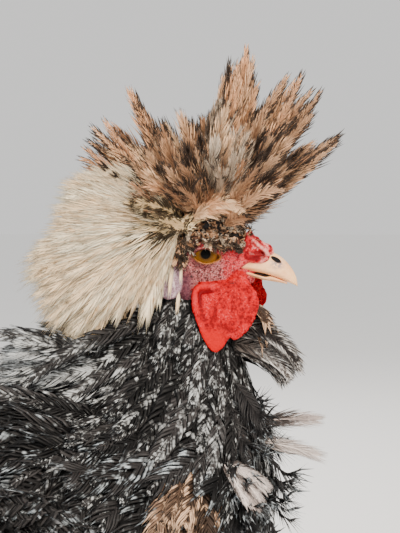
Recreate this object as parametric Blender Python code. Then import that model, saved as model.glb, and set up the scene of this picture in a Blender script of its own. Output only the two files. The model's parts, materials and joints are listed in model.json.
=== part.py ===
"""A standing Polish crested cock, life size, in metres: +X is forward, +Z is up, and the bird's right is -Y."""

import math
import random

import bmesh
import bpy
from mathutils import Matrix, Vector
from mathutils.bvhtree import BVHTree

MM = 0.001
GAP = 0.3 * MM  # left between pieces that touch
CUT_GAP = 0.42 * MM  # how far a neighbour is grown before it cuts a piece
SHARPEST = 2.5  # how many times that far a sharp edge is grown at most

# The head is placed from the point midway between the eyes.
EYE = Vector((118 * MM, 0.0, 385 * MM))
EYE_HALF_SPAN = 12.6 * MM
EYE_RADIUS = 5.6 * MM

# Torso and neck: centre x, centre z, half width, half height, all in millimetres, from tail to head.
BODY_ROWS = (
    (-153, 264, 13, 12),
    (-141, 264, 25, 23),
    (-114, 258, 44, 42),
    (-70, 248, 63, 62),
    (-14, 240, 75, 78),
    (40, 246, 74, 81),
    (80, 262, 64, 70),
    (100, 288, 52, 54),
    (107, 313, 40, 42),
    (109, 336, 30, 33),
    (108, 358, 23, 27),
    (107, 378, 18, 22),
)
BODY_SIDES = 24
STATIONS_PER_ROW = 2
NECK_START = 15  # the station where the neck leaves the torso
TAIL_END = 3  # the station where the tail leaves the torso

# Skull, measured from EYE: x, z of the centre, half width, half height, in millimetres.
HEAD_ROWS = (
    (-31, -5, 7, 8),
    (-28, -4, 11, 12.5),
    (-20, -2.5, 15, 18),
    (-8, -1.8, 16.2, 20.6),
    (3, -2.6, 15.2, 20),
    (13, -3.8, 12.2, 15.6),
    (21, -4.6, 8.6, 10.4),
    (26, -4.8, 6.4, 6.8),
)
HEAD_SIDES = 14
LID_MIDDLE = 15.4 * MM  # how far from the middle plane the lids lie
LID_REACH = (5.9 * MM, 4.6 * MM)  # half length and half height of the eye's opening, to the lids' middle
LID_RADIUS = 1.1 * MM

# Crest and plume cores, measured from EYE: centre and half sizes in millimetres.
CREST_CORE = ((-3, 0, 13), (21, 15, 16))
PLUME_CORE = ((-23, 0, 2), (13, 16.5, 17))

# Bill, measured from EYE: x, top z, bottom z, half width, in millimetres.
UPPER_BILL_ROWS = (
    (15, 1.5, -7.2, 7.6),
    (22, 1.4, -8.0, 6.9),
    (28, 1.0, -8.9, 5.9),
    (33, 0.0, -9.8, 4.9),
    (37.5, -2.6, -11.2, 4.0),
    (41, -6.4, -12.8, 2.9),
    (43.2, -10.8, -14.6, 1.5),
    (43.9, -14.4, -15.8, 0.5),
)
LOWER_BILL_ROWS = (
    (15, -7.8, -11.4, 7.0),
    (22, -8.6, -12.2, 6.2),
    (28, -9.5, -12.9, 5.1),
    (33, -10.4, -13.6, 4.0),
    (37, -11.9, -14.4, 2.9),
    (39.6, -13.2, -15.0, 1.6),
)

NOSTRIL = Vector((33.4, 4.5, -2.0)) * MM
NOSTRIL_SIZE = (2.9 * MM, 1.9 * MM, 1.0 * MM)

# Bare skin of the head, measured from EYE on the left side.
EARLOBE = Vector((-15.5, 15.4, -14.5)) * MM
EARLOBE_SIZE = (7.6 * MM, 3.6 * MM, 10.4 * MM)
COMB_BULBS = (
    (20.4, 3.6, 1.2, 3.6),
    (20.8, 5.2, 6.4, 2.9),
    (20.0, 6.6, 9.4, 1.9),
    (25.0, 4.6, 4.0, 2.9),
    (29.6, 3.8, 2.2, 2.4),
)
WATTLE_LOBES = (
    (
        (13, 8.5, -9, 7, 2.3),
        (15.2, 11.5, -15, 9, 2.2),
        (16.4, 14.0, -23, 9.6, 2.1),
        (16.8, 16.4, -31, 8.6, 2.2),
        (15.8, 17.6, -37.5, 5, 2.0),
        (15.3, 18.0, -40.6, 1.6, 1.1),
    ),
    (
        (6, 9.5, -10, 9, 2.5),
        (5.4, 12.8, -16, 11.4, 2.3),
        (4.6, 16.0, -24, 12, 2.2),
        (4.0, 18.6, -33, 10.6, 2.2),
        (4.3, 19.8, -41, 7, 2.2),
        (4.7, 20.2, -46.4, 1.8, 1.2),
    ),
)
WATTLE_FOLD = 0.7 * MM
WATTLE_FOLD_LENGTH = 11 * MM

# Legs: the foot's place, and rows of x, y, z, half depth, half width along the thigh, in millimetres.
FOOT = Vector((-3 * MM, 51 * MM, 0.0))
THIGH_ROWS = (
    (10, 38, 208, 44, 26),
    (2, 44, 182, 42, 28),
    (-10, 48, 158, 33, 25),
    (-24, 50, 134, 21, 18),
    (-33, 50, 116, 12.5, 11.5),
    (-36, 50, 107, 9.2, 8.6),
)
HOCK = Vector((-36.5 * MM, 50 * MM, 105 * MM))
SHANK_FOOT_HEIGHT = 12 * MM
SCUTES = 8
HUB_RADIUS = 10 * MM
HUB_HEIGHT = 7.9 * MM  # low enough that the lowest ring of the ball is flattened on the floor

# Toes: name, heading in degrees (0 is forward, positive turns outward), length, thickness, scutes and pads.
TOES = (
    ("inner", -33, 44 * MM, 5.0 * MM, 5, 2),
    ("middle", 3, 64 * MM, 5.4 * MM, 6, 3),
    ("outer", 36, 50 * MM, 4.8 * MM, 5, 3),
    ("hind", 196, 27 * MM, 4.4 * MM, 3, 1),
)
TOE_ROOT = 4 * MM  # where a toe starts, from the middle of the foot
TOE_RISE = 2.4 * MM
SCUTE_STEP = 0.28 * MM
CLAW_LENGTH = 13 * MM

# Feathers: sections as share of the length, share of the full width, share of the full thickness.
VANE_THICKNESS = 0.85 * MM
VANE_SHAPE = ((0, 0.45, 1), (4 / 12, 0.95, 1), (9 / 12, 0.9, 0.9), (1, 0.14, 0.65))
FAN_SHAPE = ((0, 0.36, 1), (4 / 12, 0.66, 1), (9 / 12, 1, 0.9), (1, 0.14, 0.65))
LYING_SHAPE = ((0, 0.5, 1), (2 / 12, 0.85, 1), (8 / 12, 1, 0.9), (1, 0.16, 0.65))
SHORT_SHAPE = ((0, 0.6, 1), (4 / 12, 1, 1), (1, 0.24, 0.65))
LONG_SHAPE = ((0, 0.5, 1.3), (3 / 12, 0.9, 1.2), (6 / 12, 1, 1.1), (9 / 12, 0.85, 0.9), (1, 0.14, 0.6))
WALK_STEPS = 12

# Crest and plume: how many directions there are all round, the kept side angles, and how far the tips reach
# from EYE at each side angle (0 is forward, 90 is up), in degrees and millimetres.
CREST_FEATHERS = (124, 33, 160, 60)
CREST_REACH = ((33, 84), (41, 90), (60, 108), (79, 117), (95, 100), (116, 90), (132, 84), (150, 78), (165, 76))
CREST_HALF_WIDTH = 6.2 * MM
PLUME_FEATHERS = (118, 170, 243, 66)
PLUME_REACH = ((163, 75), (185, 85), (205, 86), (225, 80), (243, 66))
PLUME_HALF_WIDTH = 6.4 * MM
FAN_DEPTH = 6 * MM  # how much further out the topmost feathers of the plume lie than the lowest

# Hackle rows: height of the roots, first angle from the front, feathers, length, in millimetres and degrees.
NECK_SLIMMER = 5 * MM
HACKLE_ROWS = ((362, 100, 6, 54), (342, 90, 8, 60), (322, 40, 12, 60))
HACKLE_HALF_WIDTH = 5.8 * MM
HACKLE_LIFTS = (-8, 3.4, 7.5)
COAT_DEPTH = 4.4 * MM  # how far the neck's feathers stand off it under the plume

# Saddle rows on each side: x of the roots, feathers, first and last angle from the top of the back, length.
SADDLE_ROWS = ((-42, 3, 12, 58, 66), (-72, 3, 6, 64, 70), (-104, 4, 30, 84, 64))
SADDLE_HALF_WIDTH = 5.4 * MM
SADDLE_LIFTS = (-3, 2.4, 3.8, 6.5)

# The folded wing: the smooth shape that its feathers follow, and its smaller core.
WING_GUIDE = ((-20, 70, 250), (98, 15, 43))
WING_CORE = ((4, 70.5, 252), (72, 12.5, 38))
WING_TURN = (-6, 6)  # degrees about Y, and about Z on the left side
WING_TILT = math.radians(10)  # each feather lies with its upper edge under the next one above it
# Tiers: count, first and last root (x, z), first and last droop, first and last length, half width, lift.
WING_TIERS = (
    (4, (-26, 222), (-16, 240), (6, -2), (84, 92), 6.6, -1.6),
    (7, (38, 226), (0, 274), (9, 2), (100, 86), 9.4, 1.4),
    (6, (58, 231), (26, 280), (12, 4), (50, 48), 8.6, 4.4),
    (5, (72, 240), (48, 282), (14, 6), (38, 35), 8.2, 7.2),
)
WING_ROOT_LIFT = -6
LONGEST_COVERT = 60
WING_SHIELD = 9 * MM  # how far the tiers stand off the wing's guide at most

# Tail feathers: root, bend and tip on the left side, and half width, in millimetres.
TAIL_PAIRS = 5
TAIL_ANGLES = (34, 76)
TAIL_LENGTHS = (112, 128)
TAIL_HALF_WIDTH = 13.5 * MM
TAIL_SHIELD = ((-164, 0, 270), (42, 35, 33))  # the smooth shape round the tail's coverts
SICKLES = (
    ((-137, 9, 274), (-210, 13, 456), (-332, 17, 336), 9.0),
    ((-136, 11.5, 270), (-200, 20, 420), (-304, 26, 306), 8.4),
    ((-135, 14, 266), (-190, 26, 378), (-270, 33, 278), 8.0),
    ((-134, 16, 262), (-180, 30, 334), (-236, 39, 252), 7.4),
)
TAIL_COVERTS = 3
COVERT_HALF_WIDTH = 8 * MM
CLEARANCE = 1.5 * MM  # from a feather's middle to what it lies over


def new_material(name, colour, roughness, metallic=0.0):
    material = bpy.data.materials.new(name)
    material.use_nodes = True
    shader = material.node_tree.nodes["Principled BSDF"]
    shader.inputs["Base Color"].default_value = (*colour, 1.0)
    shader.inputs["Roughness"].default_value = roughness
    shader.inputs["Metallic"].default_value = metallic
    return material


def clear_scene():
    for thing in list(bpy.data.objects):
        bpy.data.objects.remove(thing, do_unlink=True)


def add_object(name, mesh, collection, material=None):
    thing = bpy.data.objects.new(name, mesh)
    collection.objects.link(thing)
    if material:
        mesh.materials.append(material)
    return thing


def mesh_of(name, builder):
    """A mesh named name, filled by builder(bm) and given outward normals."""
    bm = bmesh.new()
    builder(bm)
    bmesh.ops.recalc_face_normals(bm, faces=bm.faces)
    mesh = bpy.data.meshes.new(name)
    bm.to_mesh(mesh)
    bm.free()
    return mesh


def smooth_rows(rows, per_row):
    """More rows through the given ones, by Catmull-Rom interpolation."""
    found = []
    last = len(rows) - 1
    for i in range(last):
        before = rows[max(i - 1, 0)]
        after = rows[min(i + 2, last)]
        for k in range(per_row):
            t = k / per_row
            found.append(tuple(
                0.5 * ((2 * b) + (c - a) * t + (2 * a - 5 * b + 4 * c - d) * t * t + (3 * b - a - 3 * c + d) * t ** 3)
                for a, b, c, d in zip(before, rows[i], rows[i + 1], after)
            ))
    found.append(tuple(float(v) for v in rows[last]))
    return found


def loft(bm, rings):
    """A closed body through rings of equally many points, each ring in order round the body."""
    made = [[bm.verts.new(p) for p in ring] for ring in rings]
    count = len(rings[0])
    for lower, upper in zip(made, made[1:]):
        for i in range(count):
            j = (i + 1) % count
            bm.faces.new((lower[i], lower[j], upper[j]))
            bm.faces.new((lower[i], upper[j], upper[i]))
    for ring in (made[0], made[-1]):
        middle = bm.verts.new(sum((v.co for v in ring), Vector()) / count)
        for i in range(count):
            bm.faces.new((middle, ring[i], ring[(i + 1) % count]))


def oval_ring(centre, across, upward, half_width, half_height, sides, power=1.0):
    """Points round an oval; a power under 1 makes it squarer."""
    ring = []
    for i in range(sides):
        angle = 2 * math.pi * i / sides
        c, s = math.cos(angle), math.sin(angle)
        u = math.copysign(abs(c) ** power, c) * half_width
        v = math.copysign(abs(s) ** power, s) * half_height
        ring.append(centre + across * u + upward * v)
    return ring


def body_rings(first, last, shift_first=0.0, shift_last=0.0, grow=0.0, fine=False):
    """Rings of the torso and neck from station first to last, with each end moved along the body's line."""
    finer = 2 if fine else 1
    first, last = first * finer, last * finer
    rows = smooth_rows(BODY_ROWS, STATIONS_PER_ROW * finer)
    centres = [Vector((row[0] * MM, 0, row[1] * MM)) for row in rows]
    rings = []
    for i in range(first, last + 1):
        along = (centres[min(i + 1, len(rows) - 1)] - centres[max(i - 1, 0)]).normalized()
        upward = Vector((-along.z, 0, along.x))
        shift = shift_first if i == first else shift_last if i == last else 0.0
        half_width = rows[i][2] * MM + grow
        half_height = rows[i][3] * MM + grow
        rings.append(oval_ring(
            centres[i] + along * shift, Vector((0, 1, 0)), upward, half_width, half_height,
            BODY_SIDES * finer, 0.94))
    return rings


def last_station():
    return (len(BODY_ROWS) - 1) * STATIONS_PER_ROW


def head_rings(grow=0.0):
    rings = []
    for x, z, half_width, half_height in smooth_rows(HEAD_ROWS, 2):
        centre = EYE + Vector((x, 0, z)) * MM
        end = grow if x > 0 else -grow
        if x in (HEAD_ROWS[0][0], HEAD_ROWS[-1][0]):
            centre.x += end
        rings.append(oval_ring(
            centre, Vector((0, 1, 0)), Vector((0, 0, 1)), half_width * MM + grow, half_height * MM + grow,
            HEAD_SIDES, 0.92))
    return rings


def ellipsoid(bm, centre, half_sizes, u_segments=20, v_segments=12, turn=None):
    made = bmesh.ops.create_uvsphere(bm, u_segments=u_segments, v_segments=v_segments, radius=1.0)
    matrix = Matrix.Translation(centre) @ (turn or Matrix.Identity(4)) @ Matrix.Diagonal((*half_sizes, 1.0))
    bmesh.ops.transform(bm, matrix=matrix, verts=made["verts"])
    bmesh.ops.triangulate(bm, faces=bm.faces)


def grown_copy(thing, collection, by=CUT_GAP):
    """A hidden copy of a finished piece, grown along its normals, to cut its neighbours with."""
    graph = bpy.context.evaluated_depsgraph_get()
    mesh = bpy.data.meshes.new_from_object(thing.evaluated_get(graph))
    bm = bmesh.new()
    bm.from_mesh(mesh)
    bm.normal_update()
    moved = [v.co + v.normal * by * min(v.calc_shell_factor(), SHARPEST) for v in bm.verts]
    for vert, place in zip(bm.verts, moved):
        vert.co = place
    bm.to_mesh(mesh)
    bm.free()
    mesh.materials.clear()
    cutter = add_object("cut_" + thing.name, mesh, collection)
    cutter.hide_render = True
    cutter.display_type = "WIRE"
    return cutter


def keep_largest(mesh):
    """Drops every closed surface but the one that reaches round the most volume."""
    bm = bmesh.new()
    bm.from_mesh(mesh)
    bmesh.ops.triangulate(bm, faces=bm.faces)
    left = set(bm.faces)
    groups = []
    while left:
        start = left.pop()
        group, edge_of_group = [start], [start]
        while edge_of_group:
            face = edge_of_group.pop()
            for edge in face.edges:
                for other in edge.link_faces if len(edge.link_faces) == 2 else ():
                    if other in left:
                        left.remove(other)
                        group.append(other)
                        edge_of_group.append(other)
        groups.append(group)

    def volume(group):
        return sum(f.verts[0].co.dot(f.verts[1].co.cross(f.verts[2].co)) for f in group) / 6

    best = max(groups, key=volume)
    dropped = [face for group in groups if group is not best for face in group]
    bmesh.ops.delete(bm, geom=dropped, context="FACES")
    bm.to_mesh(mesh)
    bm.free()


def apply_modifiers(thing):
    """Replaces the object's mesh by what its modifiers give, kept to its largest closed surface."""
    graph = bpy.context.evaluated_depsgraph_get()
    mesh = bpy.data.meshes.new_from_object(thing.evaluated_get(graph))
    thing.modifiers.clear()
    thing.data = mesh
    keep_largest(mesh)


def cut_by(thing, cutters, solver="MANIFOLD"):
    for cutter in cutters:
        modifier = thing.modifiers.new("clear_of_" + cutter.name, "BOOLEAN")
        modifier.operation = "DIFFERENCE"
        modifier.object = cutter
        modifier.solver = solver
    apply_modifiers(thing)


def join_all(thing, pieces):
    """Fuses a collection of closed pieces to thing in one union, and removes them."""
    modifier = thing.modifiers.new("fused", "BOOLEAN")
    modifier.operation = "UNION"
    modifier.operand_type = "COLLECTION"
    modifier.collection = pieces
    modifier.solver = "MANIFOLD"
    apply_modifiers(thing)
    for piece in list(pieces.objects):
        bpy.data.objects.remove(piece, do_unlink=True)
    bpy.data.collections.remove(pieces)


def tree_of(builder):
    """A search tree of a closed shape, for laying feathers over it."""
    bm = bmesh.new()
    builder(bm)
    bmesh.ops.recalc_face_normals(bm, faces=bm.faces)
    tree = BVHTree.FromBMesh(bm)
    bm.free()
    return tree


def vane(bm, centres, normals, half_width, shape):
    """A closed flat feather: a thin strip along its centres, whose two faces are split alike."""
    rings = []
    last = len(centres) - 1
    for i, (_, width, thick) in enumerate(shape):
        along = (centres[min(i + 1, last)] - centres[max(i - 1, 0)]).normalized()
        across = normals[i].cross(along).normalized()
        edge = across * half_width * width
        rise = along.cross(across) * VANE_THICKNESS * thick / 2
        ring = (centres[i] - edge + rise, centres[i] + edge + rise, centres[i] + edge - rise, centres[i] - edge - rise)
        rings.append([bm.verts.new(p) for p in ring])
    for near, far in zip(rings, rings[1:]):
        for a, b in ((0, 1), (1, 2), (3, 2), (3, 0)):
            bm.faces.new((near[a], near[b], far[b]))
            bm.faces.new((near[a], far[b], far[a]))
    for ring in (rings[0], rings[-1]):
        bm.faces.new((ring[0], ring[1], ring[2]))
        bm.faces.new((ring[0], ring[2], ring[3]))


def add_vane(pieces, side, centres, normals, half_width, shape):
    """A feather given for the left side, put on side, as one of the pieces to fuse."""
    flip = Vector((1, side, 1))
    centres = [c * flip for c in centres]
    normals = [n * flip for n in normals]
    add_object("vane", mesh_of("vane", lambda bm: vane(bm, centres, normals, half_width, shape)), pieces)


def pushed_out(point, shields):
    """The point, moved out of each shield to its clearance."""
    for tree, clearance in shields:
        place, normal = tree.find_nearest(point)[:2]
        if (point - place).dot(normal) < clearance:
            point = place + normal * clearance
    return point


def walk(ground, start, heading, length):
    """Places and outward normals met on the way over a surface, from start along heading."""
    place, normal = ground.find_nearest(start)[:2]
    track = [(place, normal)]
    for _ in range(WALK_STEPS):
        ahead = (heading - normal * heading.dot(normal)).normalized()
        place, normal = ground.find_nearest(place + ahead * length / WALK_STEPS)[:2]
        track.append((place, normal))
    return track


def drape_vane(pieces, side, ground, shields, start, heading, length, half_width, lifts, tilt=0.0):
    """A feather laid along a surface, its root sunk in, its tip lifted off and its edges tilted."""
    track = walk(ground, start, heading, length)
    shape = LYING_SHAPE if len(lifts) == len(LYING_SHAPE) else SHORT_SHAPE
    centres, normals = [], []
    for (share, _, _), lift in zip(shape, lifts):
        place, normal = track[round(share * WALK_STEPS)]
        centre = place + normal * lift * MM
        centres.append(pushed_out(centre, shields) if share else centre)
        normals.append(Matrix.Rotation(tilt, 3, heading) @ normal)
    add_vane(pieces, side, centres, normals, half_width, shape)


def new_pieces():
    return bpy.data.collections.new("pieces")


def clear_pieces(pieces, cutters):
    """Gives each piece a cut by every neighbour whose box it reaches into."""
    def box(thing):
        points = [v.co for v in thing.data.vertices]
        return [min(p[i] for p in points) for i in range(3)], [max(p[i] for p in points) for i in range(3)]

    boxes = [(cutter, box(cutter)) for cutter in cutters]
    for piece in pieces.objects:
        low, high = box(piece)
        for cutter, (cutter_low, cutter_high) in boxes:
            if all(low[i] < cutter_high[i] and high[i] > cutter_low[i] for i in range(3)):
                modifier = piece.modifiers.new("clear_of_" + cutter.name, "BOOLEAN")
                modifier.operation = "DIFFERENCE"
                modifier.object = cutter
                modifier.solver = "MANIFOLD"


def build_torso(parts, looks):
    rings = body_rings(TAIL_END, NECK_START, GAP / 2, -GAP / 2)
    return add_object("torso", mesh_of("torso", lambda bm: loft(bm, rings)), parts, looks["body"])


def add_saddle(torso, ground, shields):
    """Rows of long feathers over the rump, hanging to each side of the tail."""
    draw = random.Random(11)
    pieces = new_pieces()
    for side in (-1, 1):
        for x, count, first, last, length in SADDLE_ROWS:
            for i in range(count):
                angle = math.radians(first + (last - first) * i / (count - 1) + draw.uniform(-3, 3))
                start = Vector((x * MM, math.sin(angle) * 90 * MM, (250 + math.cos(angle) * 90) * MM))
                heading = Vector((-0.8, 0.1, -0.55))
                drape_vane(
                    pieces, side, ground, shields, start, heading, length * draw.uniform(0.9, 1.08) * MM,
                    SADDLE_HALF_WIDTH, SADDLE_LIFTS)
    join_all(torso, pieces)


def build_neck_core(parts, looks):
    """The neck inside its feathers, which lie deep at the back and sides and not at all on the throat."""
    rings = body_rings(NECK_START, last_station(), GAP / 2, 0.0, -NECK_SLIMMER)
    for ring in rings:
        middle = sum((p.x for p in ring), 0.0) / len(ring)
        reach = max(p.x for p in ring) - middle
        for point in ring:
            point.x += NECK_SLIMMER * max(point.x - middle, 0) / reach
    return add_object("neck", mesh_of("neck", lambda bm: loft(bm, rings)), parts, looks["hackle"])


def add_hackle(neck, ground, shields, cutters):
    """Rows of narrow feathers round the neck that fall over the shoulders."""
    draw = random.Random(23)
    pieces = new_pieces()
    for row, (z, first, count, length) in enumerate(HACKLE_ROWS):
        for i in range(count):
            share = (i + 0.5 * (row % 2) + 0.25) / count
            angle = math.radians(first + (360 - 2 * first) * share + draw.uniform(-4, 4))
            start = Vector((108 * MM + math.cos(angle) * 60 * MM, math.sin(angle) * 60 * MM, z * MM))
            heading = Vector((-0.42, math.sin(angle) * 0.1, -1))
            drape_vane(
                pieces, 1, ground, shields, start, heading, length * draw.uniform(0.86, 1.12) * MM,
                HACKLE_HALF_WIDTH, HACKLE_LIFTS)
    clear_pieces(pieces, cutters)
    join_all(neck, pieces)


def build_head(parts, looks):
    """The skull with a rim of lid round each eye."""
    head = add_object("head", mesh_of("head", lambda bm: loft(bm, head_rings())), parts, looks["face"])
    lids = new_pieces()
    for side in (-1, 1):
        bpy.ops.mesh.primitive_torus_add(
            major_segments=10, minor_segments=4, major_radius=LID_REACH[0], minor_radius=LID_RADIUS)
        rim = bpy.context.object
        squash = Matrix.Diagonal((1, LID_REACH[1] / LID_REACH[0], 1, 1))
        stand = Matrix.Rotation(math.radians(90), 4, "X")
        place = Matrix.Translation(EYE + Vector((0, side * LID_MIDDLE, 0)))
        rim.data.transform(place @ stand @ squash)
        for holder in list(rim.users_collection):
            holder.objects.unlink(rim)
        lids.objects.link(rim)
    join_all(head, lids)
    return head


def bill_rings(rows):
    """Rings of a bill half: flat on the mouth side, round on the other."""
    rings = []
    for x, top, bottom, half_width in smooth_rows(rows, 2):
        centre = EYE + Vector((x, 0, (top + bottom) / 2)) * MM
        rings.append(oval_ring(
            centre, Vector((0, 1, 0)), Vector((0, 0, 1)), half_width * MM, (top - bottom) / 2 * MM, 10, 0.85))
    return rings


def build_bill(parts, looks, head_cutter, cutters):
    """Both halves of the bill, with a nostril slit pressed into each side of the upper one."""
    upper = add_object(
        "bill_upper", mesh_of("bill", lambda bm: loft(bm, bill_rings(UPPER_BILL_ROWS))), parts, looks["bill"])
    lower = add_object(
        "bill_lower", mesh_of("bill", lambda bm: loft(bm, bill_rings(LOWER_BILL_ROWS))), parts, looks["bill"])
    nostrils = []
    for side in (-1, 1):
        place = EYE + NOSTRIL * Vector((1, side, 1))
        mesh = mesh_of("nostril", lambda bm: ellipsoid(bm, place, NOSTRIL_SIZE, 10, 6))
        nostril = add_object("cut_nostril", mesh, cutters)
        nostril.hide_render = True
        nostril.display_type = "WIRE"
        nostrils.append(nostril)
    cut_by(upper, [head_cutter, *nostrils])
    cut_by(lower, [head_cutter])
    return upper, lower


def build_eye(parts, looks, name, side):
    centre = EYE + Vector((0, side * EYE_HALF_SPAN, 0))
    sizes = (EYE_RADIUS,) * 3
    return add_object(
        "eye_" + name, mesh_of("eye", lambda bm: ellipsoid(bm, centre, sizes, 12, 7)), parts, looks["eye"])


def lobe_rings(side, rows, sides=9):
    """Rings of a thin hanging lobe with upright folds, from rows of x, y, z, half length and half thickness."""
    rings = []
    for x, y, z, half_length, half_thick in rows:
        centre = EYE + Vector((x, side * y, z)) * MM
        ring = oval_ring(
            centre, Vector((1, 0, 0)), Vector((0, side, 0)), half_length * MM, half_thick * MM, sides, 0.85)
        for point in ring:
            point.y += side * WATTLE_FOLD * math.sin(point.x / WATTLE_FOLD_LENGTH * 2 * math.pi)
        rings.append(ring)
    return rings


def build_wattle(parts, looks, name, side, cutters):
    """A hanging wattle of two lobes."""
    front, rear = (mesh_of("wattle", lambda bm: loft(bm, lobe_rings(side, rows))) for rows in WATTLE_LOBES)
    wattle = add_object("wattle_" + name, rear, parts, looks["comb"])
    pieces = new_pieces()
    add_object("lobe", front, pieces)
    join_all(wattle, pieces)
    cut_by(wattle, cutters)
    return wattle


def build_comb(parts, looks, name, side, cutters):
    """One horn of the small V comb, a crumpled cluster of bulbs."""
    horn = None
    pieces = new_pieces()
    for x, y, z, radius in COMB_BULBS:
        centre = EYE + Vector((x, side * y, z)) * MM
        sizes = Vector((radius * 1.05, radius * 0.75, radius * 1.2)) * MM
        mesh = mesh_of("comb", lambda bm: ellipsoid(bm, centre, sizes, 8, 4))
        if horn:
            add_object("bulb", mesh, pieces)
        else:
            horn = add_object("comb_" + name, mesh, parts, looks["comb"])
    join_all(horn, pieces)
    cut_by(horn, cutters)
    return horn


def build_earlobe(parts, looks, name, side, cutters):
    centre = EYE + EARLOBE * Vector((1, side, 1))
    lobe = add_object(
        "earlobe_" + name, mesh_of("earlobe", lambda bm: ellipsoid(bm, centre, EARLOBE_SIZE, 10, 6)),
        parts, looks["earlobe"])
    cut_by(lobe, cutters)
    return lobe


def build_core(parts, look, name, core, cutters):
    (x, y, z), sizes = core
    centre = EYE + Vector((x, y, z)) * MM
    thing = add_object(name, mesh_of(name, lambda bm: ellipsoid(bm, centre, Vector(sizes) * MM, 12, 8)), parts, look)
    cut_by(thing, cutters)
    return thing


def reach_at(table, angle):
    """The reach in metres at a side angle, read from a table of angle and reach."""
    for (a, low), (b, high) in zip(table, table[1:]):
        if angle <= b:
            return (low + (high - low) * max(angle - a, 0) / (b - a)) * MM
    return table[-1][1] * MM


def even_directions(total):
    """Evenly spread side angles and tilts all round, in degrees, by the golden angle."""
    golden = math.pi * (3 - math.sqrt(5))
    for i in range(total):
        y = 1 - 2 * (i + 0.5) / total
        yield math.degrees(i * golden) % 360, math.degrees(math.asin(y))


def add_fan(thing, core, feathers, reach, half_width, seed, coat, cutters):
    """Long loose feathers that radiate from the core of the crest or plume, in layers where they lie over a coat."""
    draw = random.Random(seed)
    pieces = new_pieces()
    (x, y, z), sizes = core
    middle = EYE + Vector((x, y, z)) * MM
    total, first, last, widest = feathers
    for angle, tilt in even_directions(total):
        if not (first <= angle <= last and abs(tilt) <= widest):
            continue
        a, b = math.radians(angle), math.radians(tilt)
        out = Vector((math.cos(a) * math.cos(b), math.sin(b), math.sin(a) * math.cos(b)))
        root = middle + out * Vector(sizes) * 0.78 * MM
        turn = math.radians(draw.uniform(-4, 4))
        tip_out = Vector((math.cos(a + turn) * math.cos(b), math.sin(b), math.sin(a + turn) * math.cos(b)))
        far = reach_at(reach, angle) * draw.uniform(0.84, 1.03) * (1 - 0.22 * abs(tilt) / widest)
        tip = EYE + Vector((0, 0, 0.12 * far)) * abs(math.sin(b)) + tip_out * far
        bow = Vector((draw.uniform(-4, 4), draw.uniform(-4, 4), draw.uniform(4, 10))) * MM
        facing = (out - Vector((0.2, 0, 1)) * out.z).normalized()
        facing = (facing + Vector((draw.uniform(-0.3, 0.3), math.copysign(0.5, out.y), 0))).normalized()
        layer = CLEARANCE + FAN_DEPTH * (last - angle) / (last - first)
        centres = []
        for share, _, _ in FAN_SHAPE:
            centre = root.lerp(tip, share) + bow * 4 * share * (1 - share)
            centres.append(pushed_out(centre, [(coat, layer)]) if coat and share else centre)
        add_vane(pieces, 1, centres, [facing] * len(centres), half_width * draw.uniform(0.85, 1.12), FAN_SHAPE)
    join_all(thing, pieces)
    cut_by(thing, cutters)


def build_thigh(parts, looks, name, side, cutters):
    rings = []
    for i, (x, y, z, half_depth, half_width) in enumerate(THIGH_ROWS):
        before, after = THIGH_ROWS[max(i - 1, 0)], THIGH_ROWS[min(i + 1, len(THIGH_ROWS) - 1)]
        along = Vector((after[0] - before[0], 0, after[2] - before[2])).normalized()
        forward = Vector((-along.z, 0, along.x))
        rings.append(oval_ring(
            Vector((x, y * side, z)) * MM, forward, Vector((0, 1, 0)), half_depth * MM, half_width * MM, 12))
    thigh = add_object("thigh_" + name, mesh_of("thigh", lambda bm: loft(bm, rings)), parts, looks["body"])
    cut_by(thigh, cutters)
    return thigh


def shank_rings(side):
    """The scaled leg from hock to foot, each scute a step that overhangs the next."""
    top = Vector((HOCK.x, HOCK.y * side, HOCK.z))
    foot = Vector((FOOT.x, FOOT.y * side, SHANK_FOOT_HEIGHT))
    along = (foot - top).normalized()
    across = Vector((0, 1, 0))
    forward = across.cross(along).normalized() * -1
    rings = []
    for i in range(SCUTES):
        for part in (0.0, 0.86):
            t = (i + part) / SCUTES
            waist = 6.1 + 2.6 * (2 * abs(t - 0.5)) ** 2.2
            step = 0.35 if part else -0.15
            centre = top.lerp(foot, t)
            rings.append(oval_ring(
                centre, across, forward, (waist * 0.86 + step * 0.6) * MM, (waist + step) * MM, 8))
    rings.append(oval_ring(foot, across, forward, 7.2 * MM, 8.0 * MM, 8))
    return rings


def build_shank(parts, looks, name, side, cutters):
    shank = add_object(
        "shank_" + name, mesh_of("shank", lambda bm: loft(bm, shank_rings(side))), parts, looks["leg"])
    cut_by(shank, cutters)
    return shank


def build_spur(parts, looks, name, side, cutters):
    root = Vector((HOCK.x, HOCK.y * side, HOCK.z)).lerp(Vector((FOOT.x, FOOT.y * side, SHANK_FOOT_HEIGHT)), 0.68)
    heading = Vector((-0.86, -0.48 * side, 0.05)).normalized()
    across = heading.cross(Vector((0, 0, 1))).normalized()
    upward = across.cross(heading)
    rings = []
    for distance, radius, rise in ((2, 3.4, 0), (7, 2.9, 0), (11, 1.9, 0.8), (14, 0.6, 2.0)):
        centre = root + heading * distance * MM + upward * rise * MM
        rings.append(oval_ring(centre, across, upward, radius * MM, radius * MM, 8))
    spur = add_object("spur_" + name, mesh_of("spur", lambda bm: loft(bm, rings)), parts, looks["claw"])
    cut_by(spur, cutters)
    return spur


def build_hub(parts, looks, name, side, cutters):
    """The ball of the foot, flat where it stands."""
    centre = Vector((FOOT.x, FOOT.y * side, HUB_HEIGHT))

    def hub(bm):
        ellipsoid(bm, centre, (HUB_RADIUS, HUB_RADIUS * 0.95, 9.5 * MM), 10, 6)
        for vert in bm.verts:
            vert.co.z = max(vert.co.z, 0.0)

    ball = add_object("foot_" + name, mesh_of("foot", hub), parts, looks["leg"])
    cut_by(ball, cutters)
    return ball


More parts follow.
